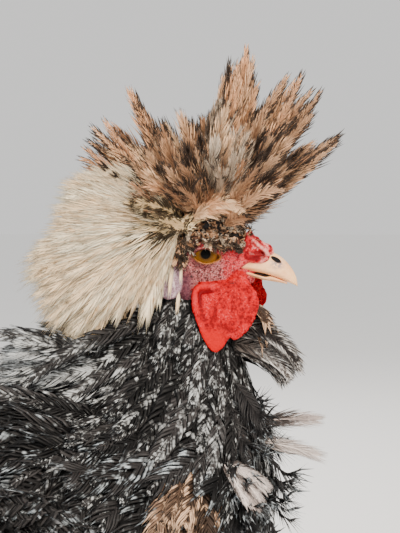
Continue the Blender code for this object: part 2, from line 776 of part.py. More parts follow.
def toe_line(side, heading):
    turn = math.radians(heading) * side
    return Vector((FOOT.x, FOOT.y * side, 0)), Vector((math.cos(turn), math.sin(turn), 0))


def flat_footed_ring(centre, across, half_width, half_height, sides):
    ring = oval_ring(centre, across, Vector((0, 0, 1)), half_width, half_height, sides)
    for point in ring:
        point.z = max(point.z, 0.0)
    return ring


def build_toe(parts, looks, name, side, toe, cutters):
    """A toe of stepped scutes that swells at its pads and stands flat on the floor."""
    toe_name, heading, length, thick, scutes, pads = toe
    start, ahead = toe_line(side, heading)
    across = Vector((-ahead.y, ahead.x, 0))
    rings = []
    for i in range(scutes):
        for part in (0.0, 0.82):
            t = min((i + part) / (scutes - 0.18), 1.0)
            swell = 1 + 0.07 * math.cos(2 * math.pi * t * pads)
            radius = thick * (1.12 - 0.34 * t) * swell + (SCUTE_STEP if part else -SCUTE_STEP / 2)
            height = radius * 0.92 + TOE_RISE * (1 - t) ** 2
            centre = start + ahead * (TOE_ROOT + (length - TOE_ROOT) * t) + Vector((0, 0, height))
            rings.append(flat_footed_ring(centre, across, radius * 0.92, radius, 7))
    thing = add_object(
        "toe_" + toe_name + "_" + name, mesh_of("toe", lambda bm: loft(bm, rings)), parts, looks["leg"])
    cut_by(thing, cutters)
    return thing


def build_claw(parts, looks, name, side, toe):
    toe_name, heading, length, thick, _, _ = toe
    start, ahead = toe_line(side, heading)
    across = Vector((-ahead.y, ahead.x, 0))
    size = thick * 0.62
    rings = []
    for t in (0.0, 0.3, 0.6, 0.85, 1.0):
        radius = size * (1 - t) ** 0.7 + 0.35 * MM
        height = size + 0.5 * MM + size * 0.55 * math.sin(math.pi * t) - (size - 0.5 * MM) * t ** 1.6
        centre = start + ahead * (length + GAP + CLAW_LENGTH * t) + Vector((0, 0, height))
        rings.append(flat_footed_ring(centre, across, radius * 0.8, radius, 6))
    return add_object(
        "claw_" + toe_name + "_" + name, mesh_of("claw", lambda bm: loft(bm, rings)), parts, looks["claw"])


def wing_shape(bm, shape, side, grow=0.0, segments=20):
    """One of the wing's smooth shapes, turned as the folded wing lies."""
    (x, y, z), sizes = shape
    about_y, about_z = WING_TURN
    turn = Matrix.Rotation(math.radians(about_z) * side, 4, "Z") @ Matrix.Rotation(math.radians(about_y), 4, "Y")
    ellipsoid(bm, Vector((x, y * side, z)) * MM, [s * MM + grow for s in sizes], segments, segments // 2 + 1, turn)


def build_wing(parts, looks, name, side, cutters):
    """The folded wing: a slim core with tiers of flight feathers and coverts over it."""
    wing = add_object(
        "wing_" + name, mesh_of("wing", lambda bm: wing_shape(bm, WING_CORE, side, 0.0, 14)), parts, looks["wing"])
    guide = tree_of(lambda bm: wing_shape(bm, WING_GUIDE, 1))
    draw = random.Random(31 + side)
    pieces = new_pieces()
    for count, first, last, droops, lengths, half_width, lift in WING_TIERS:
        for i in range(count):
            t = i / (count - 1)
            x = first[0] + (last[0] - first[0]) * t
            z = first[1] + (last[1] - first[1]) * t
            droop = math.radians(droops[0] + (droops[1] - droops[0]) * t + draw.uniform(-1, 1))
            length = (lengths[0] + (lengths[1] - lengths[0]) * t) * draw.uniform(0.96, 1.04)
            start = Vector((x, 110, z)) * MM
            heading = Vector((-math.cos(droop), 0, -math.sin(droop)))
            lifts = (WING_ROOT_LIFT, lift, lift + 0.5, lift + 0.8)
            if length < LONGEST_COVERT:
                lifts = (WING_ROOT_LIFT, lift, lift + 0.8)
            drape_vane(pieces, side, guide, [], start, heading, length * MM, half_width * MM, lifts, WING_TILT)
    join_all(wing, pieces)
    cut_by(wing, cutters)
    return wing


def build_tail(parts, looks, cutters):
    """A short fleshy base with the tail feathers in two tent-like halves, sickles outside and coverts below."""
    rings = body_rings(0, TAIL_END, 0.0, -GAP / 2)
    tail = add_object("tail", mesh_of("tail", lambda bm: loft(bm, rings)), parts, looks["tail"])
    draw = random.Random(47)
    pieces = new_pieces()
    for side in (-1, 1):
        for i in range(TAIL_PAIRS):
            t = i / (TAIL_PAIRS - 1)
            angle = math.radians(TAIL_ANGLES[0] + (TAIL_ANGLES[1] - TAIL_ANGLES[0]) * t)
            length = (TAIL_LENGTHS[0] + (TAIL_LENGTHS[1] - TAIL_LENGTHS[0]) * t) * draw.uniform(0.97, 1.03) * MM
            root = Vector((-138, 8.4 - 6.2 * t, 262 + 9 * t)) * MM
            ahead = Vector((-math.cos(angle), 0.11 - 0.09 * t, math.sin(angle)))
            sag = Vector((-6 * t, 4 - 3 * t, -3)) * MM
            centres = [root + ahead * length * share + sag * share ** 2 for share, _, _ in VANE_SHAPE]
            add_vane(pieces, side, centres, [Vector((0, 1, 0.05))] * 4, TAIL_HALF_WIDTH, VANE_SHAPE)
        for root, bend, tip, half_width in SICKLES:
            a, b, c = (Vector(p) * MM for p in (root, bend, tip))
            centres = [a.lerp(b, share).lerp(b.lerp(c, share), share) for share, _, _ in LONG_SHAPE]
            add_vane(pieces, side, centres, [Vector((0.1, 1, 0.2))] * len(centres), half_width * MM, LONG_SHAPE)
        for i in range(TAIL_COVERTS):
            t = i / (TAIL_COVERTS - 1)
            angle = math.radians(-32 + 84 * t)
            length = (38 + 12 * math.sin(math.pi * t)) * draw.uniform(0.9, 1.1) * MM
            root = Vector((-136, 14 - 4 * t, 254 + 18 * t)) * MM
            ahead = Vector((-math.cos(angle), 0.34 - 0.1 * t, math.sin(angle)))
            sag = Vector((0, 2, -8)) * MM
            centres = [root + ahead * length * share + sag * share ** 2 for share, _, _ in SHORT_SHAPE]
            add_vane(pieces, side, centres, [Vector((0.3, 1, 0.3))] * 3, COVERT_HALF_WIDTH, SHORT_SHAPE)
    clear_pieces(pieces, cutters)
    join_all(tail, pieces)
    return tail


def build_leg(parts, looks, cutters, name, side, torso_cut):
    """Thigh, shank, spur, foot, toes and claws of one leg; gives back the thigh's cutter."""
    thigh_cut = grown_copy(build_thigh(parts, looks, name, side, [torso_cut]), cutters)
    shank_cut = grown_copy(build_shank(parts, looks, name, side, [thigh_cut]), cutters)
    build_spur(parts, looks, name, side, [shank_cut])
    hub_cut = grown_copy(build_hub(parts, looks, name, side, [shank_cut]), cutters)
    made = [shank_cut, hub_cut]
    for toe in TOES:
        thing = build_toe(parts, looks, name, side, toe, made)
        made.append(grown_copy(thing, cutters))
        build_claw(parts, looks, name, side, toe)
    return thigh_cut


def stand_on_origin(parts):
    """Moves every mesh so that the model's box stands centred on the origin."""
    points = [v.co for thing in parts.objects for v in thing.data.vertices]
    low = Vector(min(p[i] for p in points) for i in range(3))
    high = Vector(max(p[i] for p in points) for i in range(3))
    shift = Vector((-(low.x + high.x) / 2, -(low.y + high.y) / 2, -low.z))
    for thing in parts.objects:
        thing.data.transform(Matrix.Translation(shift))


def make_looks():
    return {
        "body": new_material("mottled_body", (0.10, 0.10, 0.10), 0.7),
        "hackle": new_material("mottled_hackle", (0.13, 0.13, 0.12), 0.6),
        "crest": new_material("laced_crest", (0.38, 0.27, 0.19), 0.7),
        "plume": new_material("white_plume", (0.80, 0.72, 0.60), 0.7),
        "wing": new_material("mottled_wing", (0.12, 0.12, 0.12), 0.6),
        "tail": new_material("mottled_tail", (0.09, 0.09, 0.10), 0.6),
        "face": new_material("red_face", (0.55, 0.16, 0.15), 0.5),
        "comb": new_material("comb_and_wattle", (0.72, 0.04, 0.04), 0.45),
        "earlobe": new_material("pale_earlobe", (0.62, 0.50, 0.56), 0.5),
        "bill": new_material("horn_bill", (0.80, 0.58, 0.42), 0.35),
        "eye": new_material("eye", (0.45, 0.17, 0.03), 0.1),
        "leg": new_material("slate_leg", (0.24, 0.27, 0.30), 0.5),
        "claw": new_material("horn_claw", (0.62, 0.52, 0.42), 0.4),
    }


def main():
    clear_scene()
    scene = bpy.context.scene
    parts = bpy.data.collections.new("polish_crested_cock")
    cutters = bpy.data.collections.new("cutters")
    scene.collection.children.link(parts)
    scene.collection.children.link(cutters)
    looks = make_looks()
    sides = (("right", -1), ("left", 1))

    torso = build_torso(parts, looks)
    torso_cut = grown_copy(torso, cutters)
    head = build_head(parts, looks)
    for name, side in sides:
        cut_by(head, [grown_copy(build_eye(parts, looks, name, side), cutters)])
    head_cut = grown_copy(head, cutters)
    upper, lower = build_bill(parts, looks, head_cut, cutters)
    bill_cuts = [grown_copy(upper, cutters), grown_copy(lower, cutters)]

    crest = build_core(parts, looks["crest"], "crest", CREST_CORE, [head_cut])
    crest_cut = grown_copy(crest, cutters)
    add_fan(crest, CREST_CORE, CREST_FEATHERS, CREST_REACH, CREST_HALF_WIDTH, 5, None, [head_cut])
    lobe_cuts = [
        grown_copy(build_earlobe(parts, looks, name, side, [head_cut, crest_cut]), cutters) for name, side in sides]
    plume = build_core(parts, looks["plume"], "plume", PLUME_CORE, [head_cut, crest_cut, *lobe_cuts])
    plume_core_cut = grown_copy(plume, cutters)
    neck = build_neck_core(parts, looks)
    cut_by(neck, [head_cut, crest_cut, plume_core_cut, *lobe_cuts])

    thigh_cuts = [build_leg(parts, looks, cutters, name, side, torso_cut) for name, side in sides]
    build_tail(parts, looks, [torso_cut])
    for (name, side), thigh_cut in zip(sides, thigh_cuts):
        build_wing(parts, looks, name, side, [torso_cut, thigh_cut])

    ground = tree_of(lambda bm: loft(bm, body_rings(0, last_station(), fine=True)))
    coat = tree_of(lambda bm: loft(bm, body_rings(0, last_station(), grow=COAT_DEPTH, fine=True)))
    wing_shields = [
        (tree_of(lambda bm: wing_shape(bm, WING_GUIDE, side, WING_SHIELD)), CLEARANCE) for side in (-1, 1)]
    middle, sizes = (Vector(v) * MM for v in TAIL_SHIELD)
    tail_shield = (tree_of(lambda bm: ellipsoid(bm, middle, sizes)), CLEARANCE)
    add_saddle(torso, ground, [*wing_shields, tail_shield])
    add_hackle(neck, ground, wing_shields, [torso_cut, plume_core_cut, head_cut, *lobe_cuts])
    neck_cut = grown_copy(neck, cutters)
    add_fan(
        plume, PLUME_CORE, PLUME_FEATHERS, PLUME_REACH, PLUME_HALF_WIDTH, 8, coat, [head_cut, *lobe_cuts])

    for name, side in sides:
        build_comb(parts, looks, name, side, [head_cut, bill_cuts[0], crest_cut])
        build_wattle(parts, looks, name, side, [head_cut, *bill_cuts, neck_cut, torso_cut, *lobe_cuts])
    stand_on_origin(parts)


main()
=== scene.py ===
# %% [markdown]
# A Polish crested cock, standing still.
# The solid model from the workshop is loaded as a fixed frame: +X is forward, +Z is up, the bird's
# right side is -Y, and one Blender unit is one metre. Everything below is dressed over that frame.
# The head is measured in millimetres from the point midway between the eyes. The body keeps the
# workshop's own rows, which have the eye at x = 118.

import json
import math

import bpy
import numpy as np
from mathutils import Matrix, Vector
from mathutils.bvhtree import BVHTree

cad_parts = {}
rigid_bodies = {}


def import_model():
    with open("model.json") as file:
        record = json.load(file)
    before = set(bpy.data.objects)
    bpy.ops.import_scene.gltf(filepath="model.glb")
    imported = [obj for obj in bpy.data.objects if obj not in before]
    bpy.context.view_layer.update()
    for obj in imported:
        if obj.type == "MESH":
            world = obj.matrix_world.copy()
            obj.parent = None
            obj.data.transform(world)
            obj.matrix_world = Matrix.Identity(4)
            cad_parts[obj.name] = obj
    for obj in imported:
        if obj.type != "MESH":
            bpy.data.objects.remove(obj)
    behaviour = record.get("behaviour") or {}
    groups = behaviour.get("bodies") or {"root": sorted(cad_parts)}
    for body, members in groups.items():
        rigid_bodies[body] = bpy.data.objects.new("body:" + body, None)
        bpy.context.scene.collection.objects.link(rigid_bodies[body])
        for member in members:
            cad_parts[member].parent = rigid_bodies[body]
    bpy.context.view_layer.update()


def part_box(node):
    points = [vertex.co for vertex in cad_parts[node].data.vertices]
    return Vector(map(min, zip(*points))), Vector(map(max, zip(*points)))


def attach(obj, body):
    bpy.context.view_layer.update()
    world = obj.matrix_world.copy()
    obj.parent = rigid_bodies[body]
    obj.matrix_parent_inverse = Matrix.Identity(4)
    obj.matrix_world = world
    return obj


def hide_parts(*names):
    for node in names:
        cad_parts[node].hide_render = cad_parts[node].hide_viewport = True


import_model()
MM = 0.001
low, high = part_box("eye_right")
EYE = np.array(((low.x + high.x) / 2, 0.0, (low.z + high.z) / 2))  # midway between the eyes
BODY_SHIFT = EYE[0] - 118 * MM
SIDES = (("right", -1), ("left", 1))


def by_eye(x, y, z):
    """A place given in millimetres from the point midway between the eyes."""
    return EYE + np.array((x, y, z)) * MM


def on_body(x, y, z):
    """A place given in millimetres in the body's rows."""
    return np.array((x * MM + BODY_SHIFT, y * MM, z * MM))


# %% [markdown]
# Materials are networks of nodes, and long networks are easier to read as sums. A Value wraps one
# socket, so that 1 - mask or mask * 0.5 adds the Math node by itself.

# %% Shader sums
class Value:
    """One socket of a material that can be used in Python sums."""

    def __init__(self, look, socket):
        self.look, self.socket = look, socket

    def maths(self, operation, first, second):
        return self.look.node("ShaderNodeMath", {"operation": operation}, {0: first, 1: second})

    def __add__(self, other):
        return self.maths("ADD", self, other)

    def __sub__(self, other):
        return self.maths("SUBTRACT", self, other)

    def __rsub__(self, other):
        return self.maths("SUBTRACT", other, self)

    def __mul__(self, other):
        return self.maths("MULTIPLY", self, other)

    def __truediv__(self, other):
        return self.maths("DIVIDE", self, other)

    __radd__ = __add__
    __rmul__ = __mul__


def tone(colour):
    """A colour given as three numbers gets its fourth; a Value stays as it is."""
    return colour if isinstance(colour, Value) else (*colour, 1.0)


print("sums of sockets:", ", ".join(name for name in vars(Value) if name.startswith("__r")), "work too")

# %% [markdown]
# A Look is one material. Every node in it comes from its single method, node(), which takes the
# node's type, its settings and what goes into its sockets; the other methods are short names for
# the nodes that this bird needs most.

# %% Materials
class Look:
    """A material that is being made."""

    def __init__(self, name, roughness=0.5, **uniform):
        self.material = bpy.data.materials.new(name)
        self.material.use_nodes = True
        self.tree = self.material.node_tree
        self.shader = self.tree.nodes["Principled BSDF"]
        self.shader.inputs["Roughness"].default_value = roughness
        for socket, number in uniform.items():
            self.shader.inputs[socket.replace("_", " ")].default_value = number

    def node(self, kind, settings=None, sockets=None, output=0):
        made = self.tree.nodes.new(kind)
        for name, setting in (settings or {}).items():
            setattr(made, name, setting)
        for name, value in (sockets or {}).items():
            self.feed(made.inputs[name], value)
        return Value(self, made.outputs[output])

    def feed(self, socket, value):
        if isinstance(value, Value):
            self.tree.links.new(value.socket, socket)
        else:
            socket.default_value = value

    def attribute(self, name):
        """A number kept at each vertex of the mesh."""
        return self.node("ShaderNodeAttribute", {"attribute_name": name}, output=2)

    def place(self):
        """Where a point lies, in metres."""
        return self.node("ShaderNodeTexCoord", output=3)

    def stretched(self, x, y, z):
        """Places scaled along each axis."""
        return self.node(
            "ShaderNodeVectorMath", {"operation": "MULTIPLY"}, {0: self.place(), 1: (x, y, z)})

    def separated(self, where, axis):
        """One of the three numbers of a place."""
        return self.node("ShaderNodeSeparateXYZ", None, {0: where}, output=axis)

    def noise(self, where, scale, detail=3.0, roughness=0.5):
        return self.node(
            "ShaderNodeTexNoise", None,
            {"Vector": where, "Scale": scale, "Detail": detail, "Roughness": roughness})

    def step(self, value, start, end):
        """0 at start, 1 at end and a smooth rise between; start may be the greater one."""
        return self.node(
            "ShaderNodeMapRange", {"interpolation_type": "SMOOTHSTEP"},
            {0: value, 1: start, 2: end, 3: 0.0, 4: 1.0})

    def blend(self, share, first, second, kind="MIX"):
        return self.node(
            "ShaderNodeMix", {"data_type": "RGBA", "blend_type": kind},
            {0: share, 6: tone(first), 7: tone(second)}, output=2)

    def layered(self, ground, *layers):
        """A ground with colours laid over it one after another; each layer is its mask and colour."""
        for mask, colour in layers:
            ground = self.blend(mask, ground, colour)
        return ground

    def finish(self, colour, roughness, height=None, depth=0.0, coat=None):
        """Wires colour and roughness, and where given the height and coat, into the shader."""
        self.feed(self.shader.inputs["Base Color"], colour)
        self.feed(self.shader.inputs["Roughness"], roughness)
        if coat is not None:
            self.feed(self.shader.inputs["Coat Weight"], coat)
        if height is not None:
            bump = self.node(
                "ShaderNodeBump", None, {"Height": height, "Distance": depth, "Strength": 1.0})
            self.feed(self.shader.inputs["Normal"], bump)
        return self.material


print("a look has", sum(callable(part) for part in vars(Look).values()), "methods")

# %% [markdown]
# Meshes are worked out as arrays of numbers, which is far quicker than adding faces one by one.
# new_piece() turns such arrays into an object, stores any named numbers at its vertices for the
# materials to read, and says which body it rides on and which solids it stands for.

# %% Arrays into objects
def new_piece(name, points, faces, material, stands_for=(), numbers=None, unwrap=None):
    points, faces = np.asarray(points, np.float32), np.asarray(faces, np.int32)
    corners = faces.shape[1]
    mesh = bpy.data.meshes.new(name)
    mesh.vertices.add(len(points))
    mesh.vertices.foreach_set("co", points.ravel())
    mesh.loops.add(faces.size)
    mesh.loops.foreach_set("vertex_index", faces.ravel())
    mesh.polygons.add(len(faces))
    mesh.polygons.foreach_set("loop_start", np.arange(0, faces.size, corners, dtype=np.int32))
    mesh.update(calc_edges=True)
    mesh.shade_smooth()
    mesh.materials.append(material)
    for key, values in (numbers or {}).items():
        layer = mesh.attributes.new(key, "FLOAT", "POINT")
        layer.data.foreach_set("value", np.asarray(values, np.float32).ravel())
    if unwrap is not None:
        layer = mesh.uv_layers.new(name="OFBake")
        layer.uv.foreach_set("vector", np.asarray(unwrap, np.float32)[faces.ravel()].ravel())
    piece = bpy.data.objects.new(name, mesh)
    bpy.context.scene.collection.objects.link(piece)
    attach(piece, "root")
    if stands_for:
        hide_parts(*stands_for)
    print(f"{name}: {len(points)} points, {len(faces) * (corners - 2)} triangles")


def tree_of(points, faces):
    """A search tree over a surface, to find its nearest point or where a ray meets it."""
    return BVHTree.FromPolygons(
        [Vector(p) for p in points], [tuple(int(i) for i in f) for f in faces])


# %% [markdown]
# Most shapes here start as a loft: rings of points along a table of rows, with triangles between
# the rings and a fan that closes each end. A curve through the rows keeps the body smooth where a
# straight line from row to row would show corners.

# %% Curves and lofts
def unit(vectors):
    return vectors / np.maximum(np.linalg.norm(vectors, axis=-1, keepdims=True), 1e-12)


def smoothstep(values, start, end):
    t = np.clip((values - start) / (end - start), 0, 1)
    return t * t * (3 - 2 * t)


def mix(first, last, share):
    return first + (last - first) * share


def along_rows(rows, where):
    """Values at positions along a table of rows, by a smooth curve through every row."""
    rows = np.asarray(rows, float)
    where = np.clip(np.asarray(where, float), 0, len(rows) - 1 - 1e-9)
    index = where.astype(int)
    t = (where - index)[..., None]
    a, b, c, d = (rows[np.clip(index + k, 0, len(rows) - 1)] for k in (-1, 0, 1, 2))
    return 0.5 * (
        2 * b + (c - a) * t + (2 * a - 5 * b + 4 * c - d) * t ** 2 + (3 * b - a - 3 * c + d) * t ** 3)


def hill(values, top, width):
    """1 where a value is at the top, and falling smoothly to nearly 0 two widths away."""
    return np.exp(-((values - top) / width) ** 2)


def round_grid(first, last, rows, sides):
    """Two grids: places along a body, and angles round it."""
    return np.meshgrid(
        np.linspace(first, last, rows), np.linspace(0, 2 * np.pi, sides, endpoint=False), indexing="ij")


def squarer(wave, power):
    """A sine or cosine pushed outward, which turns an oval a little towards a rectangle."""
    return np.sign(wave) * np.abs(wave) ** power


def lofted(rings):
    """Points and triangles of a closed body through an array of rings."""
    count, sides = rings.shape[:2]
    i, j = np.meshgrid(np.arange(count - 1), np.arange(sides), indexing="ij")
    k = (j + 1) % sides
    a, b, c, d = i * sides + j, i * sides + k, (i + 1) * sides + k, (i + 1) * sides + j
    faces = [np.stack(corners, -1).reshape(-1, 3) for corners in ((a, b, c), (a, c, d))]
    side = np.arange(sides)
    after = (side + 1) % sides
    end = (count - 1) * sides
    faces.append(np.stack((np.full(sides, count * sides), after, side), -1))
    faces.append(np.stack((np.full(sides, count * sides + 1), end + side, end + after), -1))
    middles = np.stack((rings[0].mean(0), rings[-1].mean(0)))
    return np.concatenate((rings.reshape(-1, 3), middles)), np.concatenate(faces)


def ball(centre, sizes, side=1, rings=16, sides=24):
    """An ellipsoid; its centre is in millimetres from the point between the eyes."""
    polar, turn = round_grid(0.02, np.pi - 0.02, rings, sides)
    flat = np.sin(polar)
    shape = np.stack((flat * np.cos(turn), flat * np.sin(turn), np.cos(polar)), -1)
    return lofted(EYE + (np.array(centre, float) * (1, side, 1) + shape * np.array(sizes)) * MM)


test_points, test_faces = ball((0, 0, 0), (1, 1, 1))
print("a ball has", len(test_points), "points and", len(test_faces), "triangles")

# %% [markdown]
# Nature is never even, and the grains and folds of the skin come from value noise: random numbers
# at the corners of a lattice, blended between. The numbers are worked out from the corner itself,
# so the same place gives the same grain on every run.

# %% Noise in space
LATTICE_PRIMES = (73856093, 19349663, 83492791)


def value_noise(points, size, seed=0):
    """Smooth random numbers from -1 to 1 in space, that change over about the given size."""
    scaled = np.asarray(points) / size + seed * 17.31
    cell = np.floor(scaled).astype(np.int64)
    t = scaled - cell
    t = t * t * (3 - 2 * t)
    total = np.zeros(len(scaled))
    for corner in range(8):
        offset = np.array(((corner >> 2) & 1, (corner >> 1) & 1, corner & 1))
        a, b, c = ((cell + offset) * LATTICE_PRIMES).T
        code = a ^ b ^ c ^ (seed * 2654435)
        code = (code ^ (code >> 13)) * 1274126177 & 0x7FFFFFFF
        total += np.prod(np.where(offset, t, 1 - t), axis=1) * ((code % 65536) / 32768 - 1)
    return total


sample = value_noise(np.random.default_rng(0).random((1000, 3)) * 40, 1.0)
print("noise from", sample.min().round(2), "to", sample.max().round(2))

# %% [markdown]
# The body under the feathers is a row of ovals from the tail to the top of the neck: centre x,
# centre z, half width and half height in millimetres, the same rows that the solids have. A ring
# of points round each gives a smooth surface, and the feathers are laid over the same surface.

# %% The body's surface
BODY_ROWS = (
    (-153, 264, 13, 12), (-141, 264, 25, 23), (-114, 258, 44, 42), (-70, 248, 63, 62),
    (-14, 240, 75, 78), (40, 246, 74, 81), (80, 262, 64, 70), (100, 288, 52, 54),
    (107, 313, 40, 42), (109, 336, 30, 33), (108, 358, 23, 27), (107, 378, 18, 22),
)
BODY_TOP = len(BODY_ROWS) - 1
COAT_DEPTH, THIGH_COAT = 8 * MM, 5 * MM  # how deep the skin lies under the solids' surface
ACROSS = np.array((0, 1, 0))


def body_surface(station, angle, inset):
    """Points on the body; station counts rows from the tail, angle goes from the left over the back."""
    station, angle = np.broadcast_arrays(np.asarray(station, float), np.asarray(angle, float))
    x, z, half_width, half_height = np.moveaxis(along_rows(BODY_ROWS, station) * MM, -1, 0)
    ahead = (along_rows(BODY_ROWS, station + 0.02) - along_rows(BODY_ROWS, station - 0.02))[..., :2]
    flat = np.zeros_like(station)
    along = unit(np.stack((ahead[..., 0], flat, ahead[..., 1]), -1))
    upward = np.stack((-along[..., 2], flat, along[..., 0]), -1)
    u = squarer(np.cos(angle), 0.94) * (half_width - inset)
    v = squarer(np.sin(angle), 0.94) * (half_height - inset)
    centre = np.stack((x + BODY_SHIFT, flat, z), -1)
    return centre + upward * v[..., None] + ACROSS * u[..., None]


# Centre x, y and z, half depth and half width, from the hip to the hock.
THIGH_ROWS = (
    (14, 34, 226, 46, 24), (10, 38, 208, 44, 26), (2, 44, 182, 42, 28), (-10, 48, 158, 33, 25),
    (-24, 50, 134, 21, 18), (-33, 50, 116, 12.5, 11.5), (-36, 50, 107, 9.2, 8.6),
)
THIGH_FRONT = np.array((0.94, 0, -0.34))


def thigh_surface(station, angle, side):
    x, y, z, half_depth, half_width = np.moveaxis(along_rows(THIGH_ROWS, station) * MM, -1, 0)
    centre = np.stack((x + BODY_SHIFT, y * side, z), -1)
    depth = np.maximum(half_depth - THIGH_COAT, 4 * MM) * np.sin(angle)
    width = np.maximum(half_width - THIGH_COAT, 4 * MM) * np.cos(angle)
    return centre + THIGH_FRONT * depth[..., None] + ACROSS * width[..., None]


shells = [lofted(body_surface(*round_grid(0.4, BODY_TOP, 130, 72), COAT_DEPTH))]
shells += [lofted(thigh_surface(*round_grid(0, len(THIGH_ROWS) - 1, 40, 40), side)) for side in (-1, 1)]
print("shells of the body:", [len(points) for points, faces in shells], "points")

# %% [markdown]
# Several closed shells that run into each other become one skin with a voxel remesh: Blender fills
# the shells with small cubes and wraps one new surface round them. It forgets every seam, which is
# what skin needs. Small cubes are only spent on the head; the body is under feathers.

# %% Shells into one skin
def merged(shells):
    """The points and faces of several shells as one pair of arrays."""
    starts = np.cumsum([0] + [len(points) for points, faces in shells])
    faces = [faces + start for (points, faces), start in zip(shells, starts)]
    return np.concatenate([points for points, faces in shells]), np.concatenate(faces)


def fused(shells, voxel, relax):
    """One smooth surface round several closed shells; gives its points and four-sided faces."""
    points, faces = merged(shells)
    mesh = bpy.data.meshes.new("shells")
    mesh.from_pydata(points.tolist(), [], faces.tolist())
    thing = bpy.data.objects.new("shells", mesh)
    bpy.context.scene.collection.objects.link(thing)
    remesh = thing.modifiers.new("skin", "REMESH")
    remesh.mode = "VOXEL"
    remesh.voxel_size = voxel
    thing.modifiers.new("relax", "SMOOTH").iterations = relax
    graph = bpy.context.evaluated_depsgraph_get()
    result = bpy.data.meshes.new_from_object(thing.evaluated_get(graph))
    places = np.empty(len(result.vertices) * 3)
    result.vertices.foreach_get("co", places)
    corners = np.empty(len(result.loops), np.int32)
    result.loops.foreach_get("vertex_index", corners)
    bpy.data.objects.remove(thing, do_unlink=True)
    return places.reshape(-1, 3), corners.reshape(-1, 4)


body_points, body_faces = fused(shells, 3.2 * MM, 5)
body_tree = tree_of(body_points, body_faces)
print("body skin", len(body_points), "points")


# %% [markdown]
# A feather is a quill with a row of barbs on each side. A flat card with a picture would be quicker,
# but the light gives it away, so every barb here is a thin closed sliver of its own: wide enough at
# the quill to overlap its neighbour, and tapering to a loose tip. The outline says how long the
# barbs are along the quill: pointed for a hackle, rounded for a body feather.

# %% Parts of a feather
BARB_FACES = np.array((
    (0, 1, 4), (0, 4, 3), (1, 2, 5), (1, 5, 4), (2, 0, 3), (2, 3, 5), (3, 4, 6), (4, 5, 6), (5, 3, 6),
    (0, 2, 1)))
QUILL_STEPS = 7
QUILL_FACES = []
for i in range(QUILL_STEPS - 1):
    for j, k in ((0, 1), (1, 2), (2, 0)):
        a, b, c, d = i * 3 + j, i * 3 + k, (i + 1) * 3 + k, (i + 1) * 3 + j
        QUILL_FACES += [(a, b, c), (a, c, d)]
QUILL_FACES += [(0, 2, 1), tuple((QUILL_STEPS - 1) * 3 + k for k in range(3))]
QUILL_FACES = np.array(QUILL_FACES)
PATCH = 0.003  # size of each feather's patch on the unwrap


def pointed(t):
    return np.clip(t / 0.16, 0, 1) ** 0.6 * (1 - np.clip((t - 0.3) / 0.7, 0, 1) ** 1.7)


def rounded(t):
    return np.clip(t / 0.14, 0, 1) ** 0.6 * np.sqrt(1 - np.clip((t - 0.5) / 0.52, 0, 1) ** 2.4)


print("triangles of a barb", len(BARB_FACES), "and of a quill", len(QUILL_FACES))

# %% [markdown]
# A Coat gathers feathers of one kind, so that they can be worked out together in arrays. Each
# feather is one row of numbers: three points of its quill, the way its upper side faces, its width,
# its place on the unwrap, how marked it is and how far it curls.

# %% A coat of feathers
class Coat:
    """Feathers of one kind. spread holds the barbs' angles in degrees at the root and at the tip."""

    def __init__(self, barbs, outline, seed, spread, cup, ragged, quill, fill, flutter=0.06):
        self.barbs, self.outline, self.spread, self.flutter = barbs, outline, spread, flutter
        self.cup, self.ragged, self.quill, self.fill = cup, ragged, quill * MM, fill
        self.draw = np.random.default_rng(seed)
        self.rows = []

    def add(self, root, middle, tip, facing, half_width, where, amount, curl=0.0):
        self.rows.append((*root, *middle, *tip, *facing, half_width * MM, *where, amount, curl))

    def unpack(self):
        """Turns the rows into arrays."""
        data = np.array(self.rows)
        self.root, self.middle, self.tip, self.facing = (
            data[:, i:i + 3][:, None] for i in (0, 3, 6, 9))
        self.half_width, self.patch = data[:, 12][:, None], data[:, 13:15][:, None, None]
        self.amount, self.curl = data[:, 15], data[:, 16][:, None, None]
        self.length = np.linalg.norm(data[:, 6:9] - data[:, :3], axis=1)[:, None]

    def line(self, t):
        """Places at shares t of every feather's length."""
        t = t[..., None]
        bent = np.clip((t - 0.35) / 0.65, 0, 1.2)
        place = self.root * (1 - t) * (1 - 2 * t) + self.middle * 4 * t * (1 - t)
        place = place + self.tip * t * (2 * t - 1)
        curled = self.facing * bent ** 2 - unit(self.tip - self.root) * bent ** 3 * 0.55
        return place + curled * self.curl * self.length[..., None]

    def frame_at(self, t):
        """Places along the feathers, and the ways ahead, up and across there."""
        ahead = unit(self.line(t + 0.02) - self.line(t - 0.02))
        upward = unit(self.facing - ahead * (self.facing * ahead).sum(-1, keepdims=True))
        return self.line(t), ahead, upward, np.cross(upward, ahead)


print("a coat can", ", ".join(name for name in vars(Coat) if not name.startswith("_")))

# %% [markdown]
# Each vertex remembers where on its feather it lies: how far along, how near the edge, on which
# strand and how far beside its middle. So the materials can mottle every feather along its length.

# %% Barbs and quills
BARB_EDGE, BARB_BESIDE = np.array(((0, 0, 0, 0.52, 0.52, 0.52, 1.0), (-1, 1, 0, -1, 1, 0, 0.0)))


